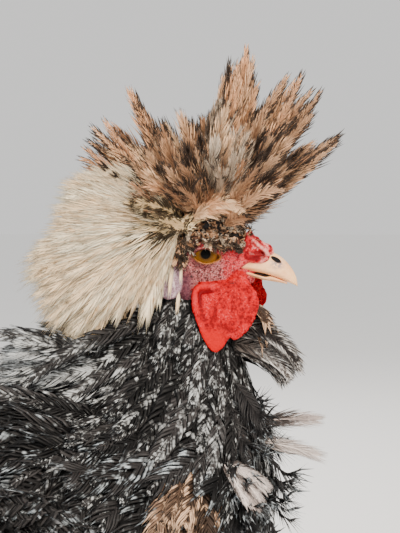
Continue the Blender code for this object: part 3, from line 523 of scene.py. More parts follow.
def barbs_beside(coat, side):
    """The barbs on one side of every quill: corner points, their numbers and their unwrap."""
    draw, shape = coat.draw, (len(coat.rows), coat.barbs)
    t = np.linspace(0.03, 0.97, coat.barbs)[None] + draw.uniform(-0.35, 0.35, shape) / coat.barbs
    place, ahead, upward, across = coat.frame_at(t)
    share = coat.outline(t)
    uneven = 1 + coat.ragged * draw.uniform(-1, 1, shape)
    angle = np.radians(mix(*coat.spread, t))
    long = (coat.half_width * share * uneven + 0.6 * MM) / np.sin(angle * 0.8)
    long = np.minimum(long, coat.length * 0.55)
    early, late = (
        np.cos(angle * k)[..., None] * ahead + np.sin(angle * k)[..., None] * (across * side)
        for k in (1.1, 0.8))
    lift = (draw.normal(0, coat.flutter, shape) * long)[..., None] * upward
    drop = (coat.cup * share * coat.half_width)[..., None] * upward
    middle = place + early * (long * 0.52)[..., None] - drop * 0.28 + lift * 0.4
    tip = place + late * long[..., None] - drop + lift
    wide = (coat.length / coat.barbs * np.sin(angle) * 0.5 * coat.fill)[..., None] + 0.05 * MM
    ridge = upward * (0.08 * MM + wide * 0.14)
    shingle = upward * wide * 0.22 * side
    corners = []
    for spot, beside in ((place, 1.0), (middle, 0.9)):
        beside = np.cross(upward, early) * wide * beside
        corners += [spot - beside - shingle, spot + beside + shingle, spot + ridge]
    long = long / coat.length
    along = np.stack([t] * 3 + [t + long * 0.45] * 3 + [t + long * 0.85], 2)
    strand = draw.random(shape)[..., None]
    numbers = np.broadcast_arrays(along, BARB_EDGE, strand, BARB_BESIDE)
    unwrap = np.stack((BARB_EDGE * side * 0.5 * share[..., None], np.clip(along, 0, 1) - 0.5), -1)
    return np.stack((*corners, tip), 2), np.stack(numbers, -1), unwrap


def quills_of(coat):
    """The quill of every feather, in the same form."""
    shape = (len(coat.rows), QUILL_STEPS)
    t = np.broadcast_to(np.linspace(-0.04, 0.98, QUILL_STEPS)[None], shape)
    place, _, upward, across = coat.frame_at(t)
    thick = (coat.quill * (1.15 - t))[..., None]
    corners = (place - across * thick, place + across * thick, place + upward * thick * 1.6)
    along = np.repeat(t[..., None], 3, 2)
    none = along * 0
    unwrap = np.stack((none, np.clip(along, 0, 1) - 0.5), -1)
    return np.stack(corners, 2), np.stack((along, none, none + 0.5, none), -1), unwrap


print("a barb's corners lie", BARB_EDGE, "of the way to its tip")

# %% [markdown]
# make() turns a whole coat into one piece: the barbs of both sides, then the quills.

# %% A coat into a piece
def make(coat, name, kind, stands_for=()):
    """Makes the piece; kind is the name of its pattern in FEATHER_LOOKS below."""
    coat.unpack()
    count = len(coat.rows)
    feather_tone = coat.draw.random(count)
    points, numbers, unwraps, faces, owner, start = [], [], [], [], [], 0
    for (corners, kept, unwrap), pattern in (
            (barbs_beside(coat, -1), BARB_FACES), (barbs_beside(coat, 1), BARB_FACES),
            (quills_of(coat), QUILL_FACES)):
        points.append(corners.reshape(-1, 3))
        numbers.append(kept.reshape(-1, 4))
        unwraps.append((unwrap * PATCH + coat.patch).reshape(-1, 2))
        total, size = len(points[-1]), pattern.max() + 1
        faces.append((pattern + np.arange(start, start + total, size)[:, None, None]).reshape(-1, 3))
        owner.append(np.repeat(np.arange(count), total // count))
        start += total
    owner = np.concatenate(owner)
    named = dict(zip(("along", "edge", "strand", "beyond"), np.concatenate(numbers).T))
    named.update(feather=feather_tone[owner], amount=coat.amount[owner])
    new_piece(
        name, np.concatenate(points), np.concatenate(faces), FEATHER_LOOKS[kind], stands_for,
        named, np.concatenate(unwraps))


print("each feather gets a patch of", PATCH, "on the unwrap")

# %% [markdown]
# A feather that lies on a surface needs only a start, a way to go and a length. lay() finds the
# surface for the root, the middle and the tip, and turns the way into its plane each time.

# %% Laying a feather
def lay(coat, tree, start, heading, length, half_width, lifts, where, amount, curl=0.0, lean=0.0):
    """Lays one feather; its root, middle and tip stand off the surface by the lifts, all in mm."""
    heading = Vector(heading)
    places, facing = [], Vector()
    spot = Vector(start)
    for lift in lifts:
        place, normal = tree.find_nearest(spot)[:2]
        flow = (heading - normal * heading.dot(normal)).normalized()
        places.append(place + normal * (lift * MM))
        facing += normal
        spot = place + flow * (length * MM / 2)
    side = flow.cross(normal) * lean
    coat.add(*places, (facing.normalized() + side).normalized(), half_width, where, amount, curl)


def skin_patch(station, angle):
    """Where a root lies on the unwrapped body: round it, and from the tail to the neck."""
    return 0.004 + 0.992 * (angle % 360) / 360, 0.004 + 0.99 * station / BODY_TOP


print("the back's middle lies at", [round(v, 2) for v in skin_patch(4, 90)], "on the unwrap")

# %% [markdown]
# Feathers have one kind of pattern: a ground colour, and marks that grow from patches stretched
# along the feather. The marks' noise reads the feather's own numbers instead of the place in space,
# so that each feather gets patches of its own that follow its barbs. Every sliver stands for a few
# real barbs, so a thread-like noise across it draws them, in the colour and in the bump.

# %% The feathers' pattern
FEATHER_NUMBERS = ("along", "edge", "strand", "beyond", "feather", "amount")


def feather_look(
        name, ground, light_ground, mark, deep_mark, along_pull, edge_pull, patches=(3.4, 1.3),
        limits=(0.47, 0.60), shading=1.0):
    """The pulls draw the marks to the tip and the edge; patches says how many lie along and across."""
    look = Look(name, 0.55, Specular_IOR_Level=0.14)
    along, edge, strand, beyond, feather, amount = (look.attribute(key) for key in FEATHER_NUMBERS)
    own = look.node("ShaderNodeCombineXYZ", None, {
        0: along * patches[0] + feather * 61.0, 1: edge * patches[1] + strand * 0.35,
        2: feather * 23.0})
    patch = look.noise(own, 1.6, 2.0)
    across = look.node("ShaderNodeCombineXYZ", None, {
        0: edge * 1.4 + along * 2.0, 1: strand * 40.0 + beyond * 1.7, 2: feather * 5.0})
    thread = look.noise(across, 1.0, 2.0)
    field = patch + (along - 0.5) * along_pull + (edge - 0.4) * edge_pull + amount * 0.9 - 0.45
    marks = look.step(field + (strand - 0.5) * 0.08 + (thread - 0.5) * 0.22, *limits)
    base = look.blend(look.step(thread + (feather - 0.5) * 0.5, 0.3, 0.75), ground, light_ground)
    colour = look.blend(marks, base, look.blend(thread, mark, deep_mark))
    # Painted shade: the grey multiply darkens some strands against their neighbours, as the gaps
    # between real barbs are shaded; shading sets how strong it is.
    shade = (strand * 0.22 + thread * 0.40) * shading + (1.03 - 0.33 * shading)
    grey = look.node("ShaderNodeCombineColor", None, {0: shade, 1: shade, 2: shade})
    colour = look.blend(1.0, colour, grey, "MULTIPLY")
    return look.finish(colour, 0.55 + (thread - 0.5) * 0.25, thread, 0.0003)


BLACK, SOOT, BLUE_WHITE = (0.008, 0.008, 0.0085), (0.037, 0.035, 0.036), (0.26, 0.305, 0.345)
DARK_BROWN, UMBER = (0.018, 0.012, 0.010), (0.075, 0.052, 0.040)
# Name, ground, light ground, mark, deep mark, pulls along and to the edge, patches, limits, shading.
FEATHER_LOOKS = {key: feather_look(*row) for key, row in {
    "tan": (
        "tan_crest_feathers", (0.74, 0.385, 0.205), (1.0, 0.69, 0.43), DARK_BROWN, UMBER,
        0.28, 0.36, (1.5, 0.9)),
    "brown": (
        "brown_crest_feathers", (0.50, 0.265, 0.145), (0.88, 0.56, 0.34), DARK_BROWN, UMBER,
        0.20, 0.50, (1.5, 0.9)),
    "grey": (
        "grey_white_crest_feathers", (0.46, 0.35, 0.255), (0.76, 0.63, 0.49),
        (0.03, 0.022, 0.018), (0.11, 0.080, 0.060), 0.30, 0.3),
    "quill": (
        "pale_breast_quills", (0.58, 0.49, 0.46), (0.86, 0.77, 0.73),
        (0.06, 0.05, 0.05), (0.20, 0.17, 0.16), -0.55, 0.25, (1.5, 0.8)),
    # The plume's brown marks are partly its own tan streaks and partly painted warm-brown shade between
    # its feathers.
    "plume": (
        "cream_plume_feathers", (1.0, 0.77, 0.50), (1.0, 0.90, 0.68),
        (0.60, 0.37, 0.18), (0.78, 0.56, 0.33), -0.30, 0.10, (3.4, 1.3), (0.46, 0.66), 0.5),
    "streaked": (
        "black_streaked_plume_feathers", (0.80, 0.58, 0.31), (0.98, 0.82, 0.54),
        (0.016, 0.012, 0.010), (0.10, 0.07, 0.04), -0.1, 0.30, (3.4, 1.3), (0.43, 0.56), 0.6),
    "body": (
        "mottled_body_feathers", BLACK, SOOT, BLUE_WHITE, (0.49, 0.54, 0.57),
        0.20, 0.06, (3.6, 1.8), (0.45, 0.70)),
    "hackle": (
        "mottled_hackle_feathers", BLACK, SOOT, (0.31, 0.33, 0.35), (0.56, 0.585, 0.59),
        0.14, -0.10, (5.5, 1.7), (0.44, 0.68)),
    # The curled locks' pale marks are painted sheen: bands of highlight along the black feathers.
    "lock": (
        "glossy_curled_feathers", (0.014, 0.012, 0.012), (0.085, 0.072, 0.066),
        (0.44, 0.41, 0.39), (0.74, 0.72, 0.70), 0.15, 0.0, (0.9, 1.5), (0.42, 0.68)),
    "breast": (
        "brownish_breast_feathers", (0.040, 0.026, 0.019), (0.17, 0.105, 0.070),
        (0.44, 0.27, 0.165), (0.68, 0.47, 0.32), 0.2, 0.1, (2.6, 1.3)),
}.items()}
print(len(FEATHER_LOOKS), "kinds of feather:", ", ".join(FEATHER_LOOKS))


# %% [markdown]
# The head carries the character, so its skin gets the smallest cubes. It starts as a few plain
# shells: a lofted skull, two combs made of lumps, a flap with a thick rim for each wattle, and the
# earlobes. All numbers are millimetres from the point midway between the eyes.

# %% Rows of the head
# Skull: how far ahead, height of the middle, half width and half height.
HEAD_ROWS = (
    (-31, -5, 7, 8), (-28, -4, 11, 12.5), (-20, -2.5, 15, 18), (-8, -1.8, 16.0, 20.4),
    (3, -2.6, 15.0, 19.8), (13, -3.8, 12.0, 15.4), (20, -4.4, 8.8, 10.8), (25, -4.6, 6.8, 7.8),
    (28, -4.8, 5.4, 6.2),
)
# Chains of lumps for the ridge, back, foot and front of a comb: ahead, out, up and radius.
COMB_CHAINS = (
    ((20.8, 6.5, 10.0, 1.3), (21.6, 6.8, 7.9, 1.3), (23.2, 6.8, 6.0, 1.2), (25.6, 6.2, 3.6, 1.2),
     (28.0, 5.4, 1.2, 1.2), (29.6, 4.5, -1.2, 1.2)),
    ((20.8, 6.5, 10.0, 1.3), (19.6, 7.2, 7.0, 1.4), (18.9, 8.2, 3.4, 1.4), (18.8, 8.8, 0.5, 1.3)),
    ((19.0, 9.0, -0.9, 1.2), (22.0, 8.2, -2.2, 1.1), (26.0, 6.8, -2.7, 1.1), (29.0, 5.2, -2.3, 1.1)),
    ((24.6, 4.2, 5.2, 1.3), (26.4, 3.9, 4.0, 1.4), (28.2, 3.5, 3.2, 1.4), (30.0, 3.0, 2.6, 1.4),
     (31.0, 2.4, 0.8, 1.1)),
)
EARLOBE, EARLOBE_SIZE = (-17.4, 13.9, -13.0), (6.4, 2.8, 8.8)
WATTLE_EDGE = np.array((
    (-3.4, -13.8), (-6.2, -16.8), (-6.5, -23.5), (-5.0, -29.5), (-3.0, -34.8), (-0.8, -39.7),
    (1.9, -44.0), (4.9, -46.2), (8.0, -44.2), (10.2, -41.2), (11.8, -39.0), (14.3, -40.2),
    (18.9, -37.3), (23.2, -31.2), (25.4, -24.2), (24.0, -18.0), (20.4, -12.8), (17.3, -9.2),
    (14.8, -8.2), (12.6, -9.8), (10.0, -12.6), (3.2, -13.4),
))
WATTLE_MIDDLE = np.array((9.0, -25.0))
comb_lumps = np.concatenate([
    along_rows(chain, np.linspace(0, len(chain) - 1, 3 * len(chain) - 2)) for chain in COMB_CHAINS])
print("a comb has", len(comb_lumps), "lumps, a wattle's outline", len(WATTLE_EDGE), "corners")

# %% [markdown]
# A wattle hangs from the bill's corner like a thick leaf: it is lofted through rings that shrink to
# its middle on the outer face and grow again on the inner one. One shallow fold runs down it.

# %% The head's shells
def wattle_out(x, z):
    """How far out the wattle hangs."""
    fold = 0.7 * np.sin(x / 9.0 * 2 * np.pi + z * 0.08) * smoothstep(z, -42, -14)
    hanging = np.interp(-z, (8, 13.5, 20, 30, 46), (9.6, 13.6, 15.9, 18.0, 19.8))
    return hanging - 0.15 * (x - 4) + fold


def hang(x, z, side):
    """The left wattle hangs a little further forward, so that it shows beyond the right one."""
    return (side > 0) * 4.2 * smoothstep(x, 6, 20) * smoothstep(z, -36, -20)


def wattle_flap(side, steps=26):
    count = len(WATTLE_EDGE)
    edge = np.concatenate((WATTLE_EDGE[-1:], WATTLE_EDGE, WATTLE_EDGE[:2]))
    edge = along_rows(edge, np.linspace(1, count + 1, 120, endpoint=False))
    inward = np.linspace(0.04, 0.98, steps)
    inward = np.concatenate((inward, (1.0,), inward[::-1]))[:, None]
    face = np.concatenate((np.ones(steps), (0,), -np.ones(steps)))[:, None]
    x, z = np.moveaxis(WATTLE_MIDDLE + (edge - WATTLE_MIDDLE) * inward[..., None], -1, 0)
    out = wattle_out(x, z) + np.sqrt(np.clip(1 - inward ** 8, 0, 1)) * 1.25 * face
    return lofted(EYE + np.stack((x + hang(x, z, side), side * out, z), -1) * MM)


where, turn = round_grid(0, len(HEAD_ROWS) - 1, 60, 72)
x, z, half_width, half_height = np.moveaxis(along_rows(HEAD_ROWS, where), -1, 0)
y = squarer(np.cos(turn), 0.92) * half_width
z = z + squarer(np.sin(turn), 0.92) * half_height
shells = [lofted(EYE + np.stack((x, y, z), -1) * MM)]
for side in (-1, 1):
    for x, y, z, radius in comb_lumps:
        shells.append(ball((x, y, z), (radius * 1.05, radius * 1.1, radius * 1.1), side, 10, 14))
    shells.append(ball((22.8, 5.0, 3.4), (4.2, 1.6, 4.8), side))  # the comb's flat middle
    shells.append(wattle_flap(side))
    shells.append(ball(EARLOBE, EARLOBE_SIZE, side))
    shells.append(ball((17, 6.4, -9.0), (4.2, 3.6, 2.8), side))  # the fold at the bill's corner
    shells.append(ball((-8.6, 9.4, -15.6), (5.6, 6.2, 9.0), side))  # the cheek
head_points, head_faces = fused(shells, 0.45 * MM, 3)
print("head skin", len(head_points), "points")

# %% [markdown]
# A remeshed shell is smooth, and real skin isn't. The next cells work like a sculptor: they find
# out where everything is, give every point a new height, and only then move the points. The eye
# comes first: an almond opening with a rolled lid that hugs the eyeball. opening is the distance
# from the lid's edge in millimetres, negative where the eye shows.

# %% Eyelids
EYEBALL, EYE_OUT = 6.2, 12.0  # radius, and how far its middle is from the bird's middle
LID_WIDTH, UPPER_LID, LOWER_LID = 6.1, 3.4, 3.2  # half the opening's width, and its two heights
spots = (head_points - EYE) / MM
side, x, out, z = np.sign(spots[:, 1]), spots[:, 0], np.abs(spots[:, 1]), spots[:, 2]
beside = out > 8


def eyeball_out(least):
    """How far out the eyeball's surface lies; least keeps a dome going beside it."""
    return EYE_OUT + np.sqrt(np.maximum(EYEBALL ** 2 - x ** 2 - z ** 2, least))


across = (x - 0.5) / LID_WIDTH
corner = -1.0 - 0.3 * across
tall = np.where(z > corner, UPPER_LID, LOWER_LID)
opening = ((np.abs(across) ** 1.7 + np.abs((z - corner) / tall) ** 1.7) ** (1 / 1.7) - 1) * 3.8
ball_out = eyeball_out(1.2)
margin = ball_out + 0.30 + 0.42 * hill(opening, 0.6, 0.6) - 0.5 * smoothstep(opening, 1.4, 3.0)
margin += 0.6 * hill(opening, 0.9, 0.9) * smoothstep(z, 0.0, 1.6)
margin = np.where(opening < 0, ball_out - 2.2 + 2.55 * smoothstep(opening, -0.45, 0.0), margin)
near_eye = (1 - smoothstep(opening, 2.2, 6.0)) * beside
lid = hill(np.maximum(opening, 0.15), 0.15, 0.55) * beside
out = out * (1 - near_eye) + margin * near_eye
over_ball = (opening > 0.8) & (np.hypot(x, z) < EYEBALL) & (out > 8)
out = np.where(over_ball, np.maximum(out, eyeball_out(0) + 0.4), out)
print("points that show the eyeball:", int((near_eye * (opening < 0) > 0.5).sum()))

# %% [markdown]
# Masks say where each part of the skin is, from 0 to 1: earlobe, wattle, comb, and the soft edge
# where the horn of the bill comes out. The same masks are kept at the vertices for the colours.

# %% Masks
def inside_wattle(x, z):
    """How deep places lie inside the wattle's outline, seen from the side; negative outside it."""
    edges = np.roll(WATTLE_EDGE, -1, 0) - WATTLE_EDGE
    apart = np.stack((x, z), -1)[:, None] - WATTLE_EDGE
    share = np.clip((apart * edges).sum(-1) / (edges * edges).sum(-1), 0, 1)
    nearest = np.linalg.norm(apart - edges * share[..., None], axis=-1).min(1)
    above = WATTLE_EDGE[:, 1] > z[:, None]
    crossed = above != np.roll(above, -1, 1)
    drop = np.where(np.abs(edges[:, 1]) < 1e-6, 1e-6, edges[:, 1])
    crossing = apart[..., 0] < (z[:, None] - WATTLE_EDGE[:, 1]) * edges[:, 0] / drop
    return np.where((crossed & crossing).sum(1) % 2 == 1, nearest, -nearest)


lobe = np.hypot((x - EARLOBE[0]) / EARLOBE_SIZE[0], (z - EARLOBE[2]) / EARLOBE_SIZE[2])
earlobe = (1 - smoothstep(lobe, 0.85, 1.12)) * (out > 9)
hung = x - hang(x, z, side)
rim = inside_wattle(hung, z)
wattle = smoothstep(rim, -1.2, 0.0) * smoothstep(out - wattle_out(hung, z), -2.6, -1.2)
outer = smoothstep(out - wattle_out(hung, z), 0.1, 0.9)
comb = np.zeros(len(spots))
for cx, cy, cz, radius in comb_lumps:
    away = np.sqrt((x - cx) ** 2 + (out - cy) ** 2 + (z - cz) ** 2) / radius
    comb = np.maximum(comb, 1 - smoothstep(away, 1.1, 1.8))
flat_middle = (1 - smoothstep(np.hypot(x - 23, z - 2.4), 5.0, 6.5)) * smoothstep(x + z, 17.0, 18.5)
comb = np.maximum(comb, flat_middle)
# Distance across the comb's ridge line, which is painted pale as a highlight, seen from the side.
to_ridge = (x - 21.3) * 0.711 + (z - 8.0) * 0.703 + 0.35 * value_noise(spots, 1.6, 11)
ridge = comb * hill(to_ridge, 0, 0.6) * smoothstep(z, -2.5, 0.5) * smoothstep(out, 3.5, 5.0)
broken = np.clip(0.8 + 0.5 * value_noise(spots, 1.1, 12), 0, 1)
ridge = ridge * broken * (1 - 0.6 * smoothstep(z, 4.0, 7.0))
bill_edge = x - 15.2 - 1.25 * np.abs(z + 7.4)
horn = smoothstep(bill_edge, -0.5, 1.1) * (x > 14) * (z > -16) * (1 - comb)
for name, mask in (("earlobe", earlobe), ("wattle", wattle), ("comb", comb), ("horn", horn)):
    print(name, "covers", int((mask > 0.5).sum()), "points")

# %% [markdown]
# Every part has its own grain: wattles and combs are warty, the wattle's rim is a rolled bead with
# a crease inside it, the earlobe is wrinkled, and ripples run round the eye. height adds them up.

# %% Grains and folds
grain = value_noise(spots, 1.0, 1) * 0.5 + value_noise(spots, 0.6, 2) * 0.35
lump = value_noise(spots, 2.4, 3)
crease = 1 - np.abs(value_noise(spots, 1.9, 4)) * 2
fold = value_noise(spots * (1.6, 1.6, 0.7), 3.2, 5)
warts = np.maximum(value_noise(spots, 1.15, 8), 0) + 0.6 * np.maximum(value_noise(spots, 0.8, 9), 0)
waves = np.sin(opening * 2 * np.pi / 1.35 + value_noise(spots, 3.0, 6) * 2)
ripple = waves * hill(opening, 3.4, 2.0)
bare = (1 - np.clip(earlobe + wattle + comb, 0, 1)) * smoothstep(opening, 0.9, 2.2)
warty = bare * np.clip(smoothstep(x, 5, 12) + smoothstep(z, 1.5, 4.5), 0, 1)
high_rim = 0.22 * smoothstep(z, -44, -34) + 0.78 * smoothstep(z, -27, -18)
rolled = 0.05 + 0.95 * (1 - smoothstep(x, 0, 8)) * high_rim
smooth_lobe = smoothstep(z, -33, -38) * (1 - smoothstep(x, 6, 12))

height = wattle * (1 - 0.75 * smooth_lobe) * (0.30 * grain + 0.30 * fold + 0.26 * warts)
height += wattle * outer * rolled * 0.75 * (hill(rim, 1.4, 1.1) - hill(rim, 4.0, 0.8))
height += comb * (0.30 * lump + 0.34 * grain + 0.26 * warts) + 0.4 * ridge
height += earlobe * (0.22 * value_noise(spots * (1, 1, 0.4), 1.6, 7) + 0.08 * grain)
height += bare * (0.16 * grain + 0.22 * np.maximum(crease, 0) + 0.16 * ripple) + warty * 0.42 * warts
print("deepest grain", round(float(np.abs(height).max()), 2), "mm")

# %% [markdown]
# Now the points move: out along the skin by the height, and in under the horn of the bill.

# %% Sculpt the head
moved = np.stack((x, out * side, z), -1)
shape = bpy.data.meshes.new("head")
shape.from_pydata(moved.tolist(), [], head_faces.tolist())
normals = np.empty(moved.size)
shape.vertices.foreach_get("normal", normals)
moved += normals.reshape(-1, 3) * height[:, None]
axis = np.stack((x, 0 * x, 0 * x - 6.6), -1)
moved = axis + (moved - axis) * (1 - 0.34 * horn)[:, None]
head_points = EYE + moved * MM
head_masks = dict(
    lid=lid, earlobe=earlobe, wattle=wattle, comb=comb, ridge=ridge, height=height, warty=warty,
    smooth_lobe=smooth_lobe * wattle, rim=wattle * hill(rim, 1.2, 1.6) * rolled,
    # crease marks where shade is painted inside the wattle's rolled rim.
    crease=wattle * outer * rolled * hill(rim, 4.0, 1.1))
print("sculpted", len(head_points), "points with", len(head_masks), "masks")

# %% [markdown]
# Bare skin is thin and full of blood, so light goes a little way into it: that is the shader's
# subsurface weight. The face turns from red at the bill to a dusty mauve under the eye. Colours
# are laid over each other like glazes, each with its mask.

# %% Colours of the face
skin = Look(
    "bare_head_skin", 0.42, Subsurface_Weight=0.06, Subsurface_Scale=0.0012, Specular_IOR_Level=0.08)
skin.shader.inputs["Subsurface Radius"].default_value = (1.0, 0.22, 0.14)


def from_eye(look, axis):
    """How far a point lies from the point between the eyes along one axis, in millimetres."""
    return (look.separated(look.place(), axis) - float(EYE[axis])) / MM


blotch, speck, fine = (
    skin.noise(skin.place(), *numbers)
    for numbers in ((260.0, 4.0, 0.6), (900.0, 3.0, 0.65), (1700.0, 2.0, 0.6)))
forward, upward, relief = from_eye(skin, 0), from_eye(skin, 2), skin.attribute("height")
# The palest fine specks on the mauve and rosy skin are painted glints on the papillae.
mauve = skin.layered(
    (0.085, 0.014, 0.016), (skin.step(speck, 0.41, 0.58), (0.36, 0.105, 0.108)),
    (skin.step(fine, 0.54, 0.64) * 0.6, (0.58, 0.31, 0.29)))
rosy = skin.layered(
    (0.24, 0.006, 0.012), (skin.step(speck, 0.40, 0.58), (0.52, 0.045, 0.055)),
    (skin.step(fine, 0.54, 0.66) * 0.5, (0.68, 0.28, 0.28)))
rise = upward.maths("MAXIMUM", upward, -3.0) + 3.0
red_side = skin.step(forward + rise * 1.6 + (blotch - 0.5) * 9.0, 5.5, 11.0)
warts = skin.attribute("warty") * skin.step(relief, 0.10, 0.36) * skin.step(
    forward + upward * 2.2, 11.0, 15.0)
behind = skin.step(forward, -4.0, -8.5) * skin.step(upward, -6.0, -12.0)
# Painted shade: the skin under the knob's feathers, above the eye, is darkened as if in their shadow.
shade_under_knob = skin.step(upward + forward * 0.16, 4.6, 5.8) * skin.step(forward, 19.5, 18.0)
is_lid = skin.attribute("lid")
face = skin.layered(
    mauve, (red_side, rosy), (warts, (0.52, 0.008, 0.016)),
    (behind * 0.85, skin.blend(speck, (0.03, 0.008, 0.014), (0.14, 0.045, 0.07))),
    (shade_under_knob * 0.9, skin.blend(fine, (0.03, 0.018, 0.012), (0.16, 0.10, 0.065))),
    (is_lid * skin.step(upward, 1.2, -0.6) * 0.9, (0.34, 0.135, 0.018)),
    # Painted shade: the upper lid is darkened as if shaded by the brow; the lower lid's orange is its
    # own colour.
    (is_lid * skin.step(upward, 0.2, 1.6) * 0.9, (0.06, 0.008, 0.008)))
print("the face takes", len(skin.tree.nodes), "nodes")

# %% [markdown]
# The wattles and combs are bright red and granular, with paler grains that are painted glints. The
# comb's ridge is painted pale as a highlight, and painted shade darkens its middle and the low spots
# between its lumps. The earlobe is a pale lavender with fine upright wrinkles.

# %% Colours of wattles, combs and earlobes
red = skin.layered(
    (0.18, 0.0003, 0.0025),
    (skin.step(speck + relief * 0.5, 0.36, 0.64), (0.44, 0.0006, 0.0045)),
    # Painted highlights: pale specks on the wattle's raised grains stand for glints.
    (skin.step(fine + relief * 0.4, 0.60, 0.74) * 0.42, (0.72, 0.10, 0.11)),
    # Painted shade: the crease inside the wattle's rolled rim is darkened as if shaded.
    (skin.attribute("crease") * 0.8, (0.12, 0.001, 0.005)),
    (skin.attribute("rim") * 0.75, (0.44, 0.0005, 0.0025)),
    (skin.attribute("smooth_lobe") * 0.85,
     skin.blend(blotch, (0.42, 0.0004, 0.0012), (0.54, 0.0015, 0.0025))))
# Painted highlights: pale pink glints on the comb's raised grains, more of them towards its front.
painted_comb_glints = skin.step(
    relief + (fine - 0.5) * 0.9 + skin.step(forward, 24.0, 30.0) * 0.14, 0.20, 0.48) * 0.7
# Painted shade in the hollow middle of the comb.
comb_middle_shade = skin.step(forward, 19.5, 21.5) * skin.step(forward, 29.5, 27.0)
comb_middle_shade = comb_middle_shade * skin.step(upward, 1.8, 0.6) * skin.step(upward, -3.4, -2.2)
comb_red = skin.layered(
    # Painted shade: the comb is darker red low between its lumps and brighter red on them.
    (0.14, 0.002, 0.006), (skin.step(relief, -0.15, 0.26), (0.48, 0.010, 0.018)),
    (painted_comb_glints, (0.80, 0.36, 0.34)), (comb_middle_shade * 0.7, (0.13, 0.003, 0.006)),
    # Painted highlight: the comb's ridge line is painted pale.
    (skin.attribute("ridge") * 0.8, (0.74, 0.33, 0.29)))
wrinkles = skin.noise(skin.stretched(1.0, 1.0, 0.25), 700.0)
lavender = skin.layered(
    (0.24, 0.14, 0.18), (skin.step(speck, 0.35, 0.65), (0.52, 0.36, 0.42)),
    (skin.step(wrinkles, 0.5, 0.7) * 0.5, (0.80, 0.70, 0.70)))
is_comb = skin.attribute("comb")
colour = skin.layered(
    face, (skin.attribute("earlobe"), lavender),
    (skin.step(skin.attribute("wattle") + is_comb, 0.25, 0.75),
     skin.blend(skin.step(is_comb, 0.2, 0.7), red, comb_red)))
skin_look = skin.finish(colour, 0.32 + blotch * 0.26, speck * 0.7 + fine * 0.6, 0.0005)
new_piece(
    "head_skin", head_points, head_faces, skin_look,
    ("head", "comb_left", "comb_right", "wattle_left", "wattle_right", "earlobe_left", "earlobe_right"),
    head_masks)
head_tree = tree_of(head_points, head_faces)

# %% [markdown]
# Short dark bristles grow on the cheek and between eye and bill. Each is one thin spike.

# %% Bristles
SPIKE_FACES = np.array(((0, 1, 3), (1, 2, 3), (2, 0, 3), (0, 2, 1)))
draw = np.random.default_rng(31)
points = []
for i in range(560):
    side = (-1, 1)[i % 2]
    x, z = draw.uniform(-11, 17), draw.uniform(-12.5, 1.0)
    if abs(x - 0.75) < 7.6 and z > -5.5 or x + z > 13:
        continue
    spot, normal = (np.array(v) for v in head_tree.find_nearest(Vector(by_eye(x, 17.0 * side, z)))[:2])
    flow = np.array((-0.7, 0.0, -0.7)) + draw.normal(0, 0.4, 3) + normal * draw.uniform(0.2, 0.9)
    flow = unit(flow)
    beside = unit(np.cross(flow, normal)) * 0.10 * MM
    base = spot - normal * 0.1 * MM
    tip = base + flow * draw.uniform(0.9, 2.0) * MM
    points += [base - beside, base + beside, base + normal * 0.16 * MM, tip]
faces = (SPIKE_FACES + np.arange(0, len(points), 4)[:, None, None]).reshape(-1, 3)
bristle = Look("black_bristles", 0.5)
tint = bristle.noise(bristle.place(), 400.0)
bristle_look = bristle.finish(
    bristle.blend(tint, (0.008, 0.006, 0.006), (0.05, 0.035, 0.032)), 0.4 + tint * 0.2)
new_piece("face_bristles", points, faces, bristle_look)

# %% [markdown]
# The eye is a wet ball that sits deep behind the lids. Its pattern needs only one number: how far
# a point is from the axis that the bird looks along. A thin clear coat gives the shine.

# %% Eyes
GAZE = np.array((0.04, 1.0, 0.02))
eye = Look("amber_eye", 0.30, Coat_Weight=0.05, Coat_Roughness=0.03, Specular_IOR_Level=0.02)
far = eye.attribute("from_axis")
round_eye = eye.node(
    "ShaderNodeCombineXYZ", None, {0: eye.attribute("turn") * 14.0, 1: far * 0.35, 2: 0.0})
fibres = eye.noise(round_eye, 3.0, 3.0)
iris = eye.layered(
    (0.040, 0.018, 0.004), (eye.step(far, 2.3, 4.6), (0.145, 0.056, 0.007)),
    (eye.step(fibres, 0.4, 0.7) * 0.5, (0.19, 0.085, 0.013)),
    (eye.step(far, 5.0, 5.8), (0.10, 0.03, 0.01)))
pupil = (0.0015, 0.0015, 0.0015)
eye_look = eye.finish(eye.blend(eye.step(far, 2.15, 2.55), pupil, iris), 0.28 + fibres * 0.05)
for name, side in SIDES:
    points, faces = ball((0, EYE_OUT, 0), (EYEBALL - 0.05,) * 3, side, 48, 64)
    gaze = unit(GAZE * (1, side, 1))
    local = (points - EYE) / MM - (0, EYE_OUT * side, 0)
    depth = local @ gaze
    off = local - depth[:, None] * gaze
    from_axis = np.where(depth > 0, np.linalg.norm(off, axis=1), EYEBALL)
    new_piece(
        "eye_ball_" + name, points, faces, eye_look, ("eye_" + name,),
        {"from_axis": from_axis, "turn": np.arctan2(off[:, 2], off[:, 0])})

# %% [markdown]
# The bill is horn: a hard sheath with fine growth lines, pale and a little pink, with painted shade in
# and below the nostril. Both halves are lofts through the workshop's rows, with the widest point near
# the cutting edge. They touch except near the gape, where a near-black piece shows as painted shade in
# the mouth.

# %% Shape of the bill
# How far ahead, top, bottom and half width.
UPPER_BILL = (
    (14, 0.4, -7.6, 8.0), (22, 0.9, -8.9, 7.0), (28, 0.7, -10.0, 6.0), (33, 0.0, -11.4, 5.0),
    (37, -2.6, -13.0, 4.0), (40.6, -6.6, -14.5, 2.9), (43.0, -11.0, -15.5, 1.5),
    (43.8, -14.8, -16.1, 0.4),
)
LOWER_BILL = (
    (14, -7.9, -10.8, 7.2), (20, -8.6, -11.2, 6.4), (24, -9.9, -12.0, 5.8), (28, -11.0, -13.0, 5.0),
    (31, -10.9, -13.5, 4.4), (36, -12.6, -14.3, 3.0), (38.8, -14.0, -14.9, 1.5),
)


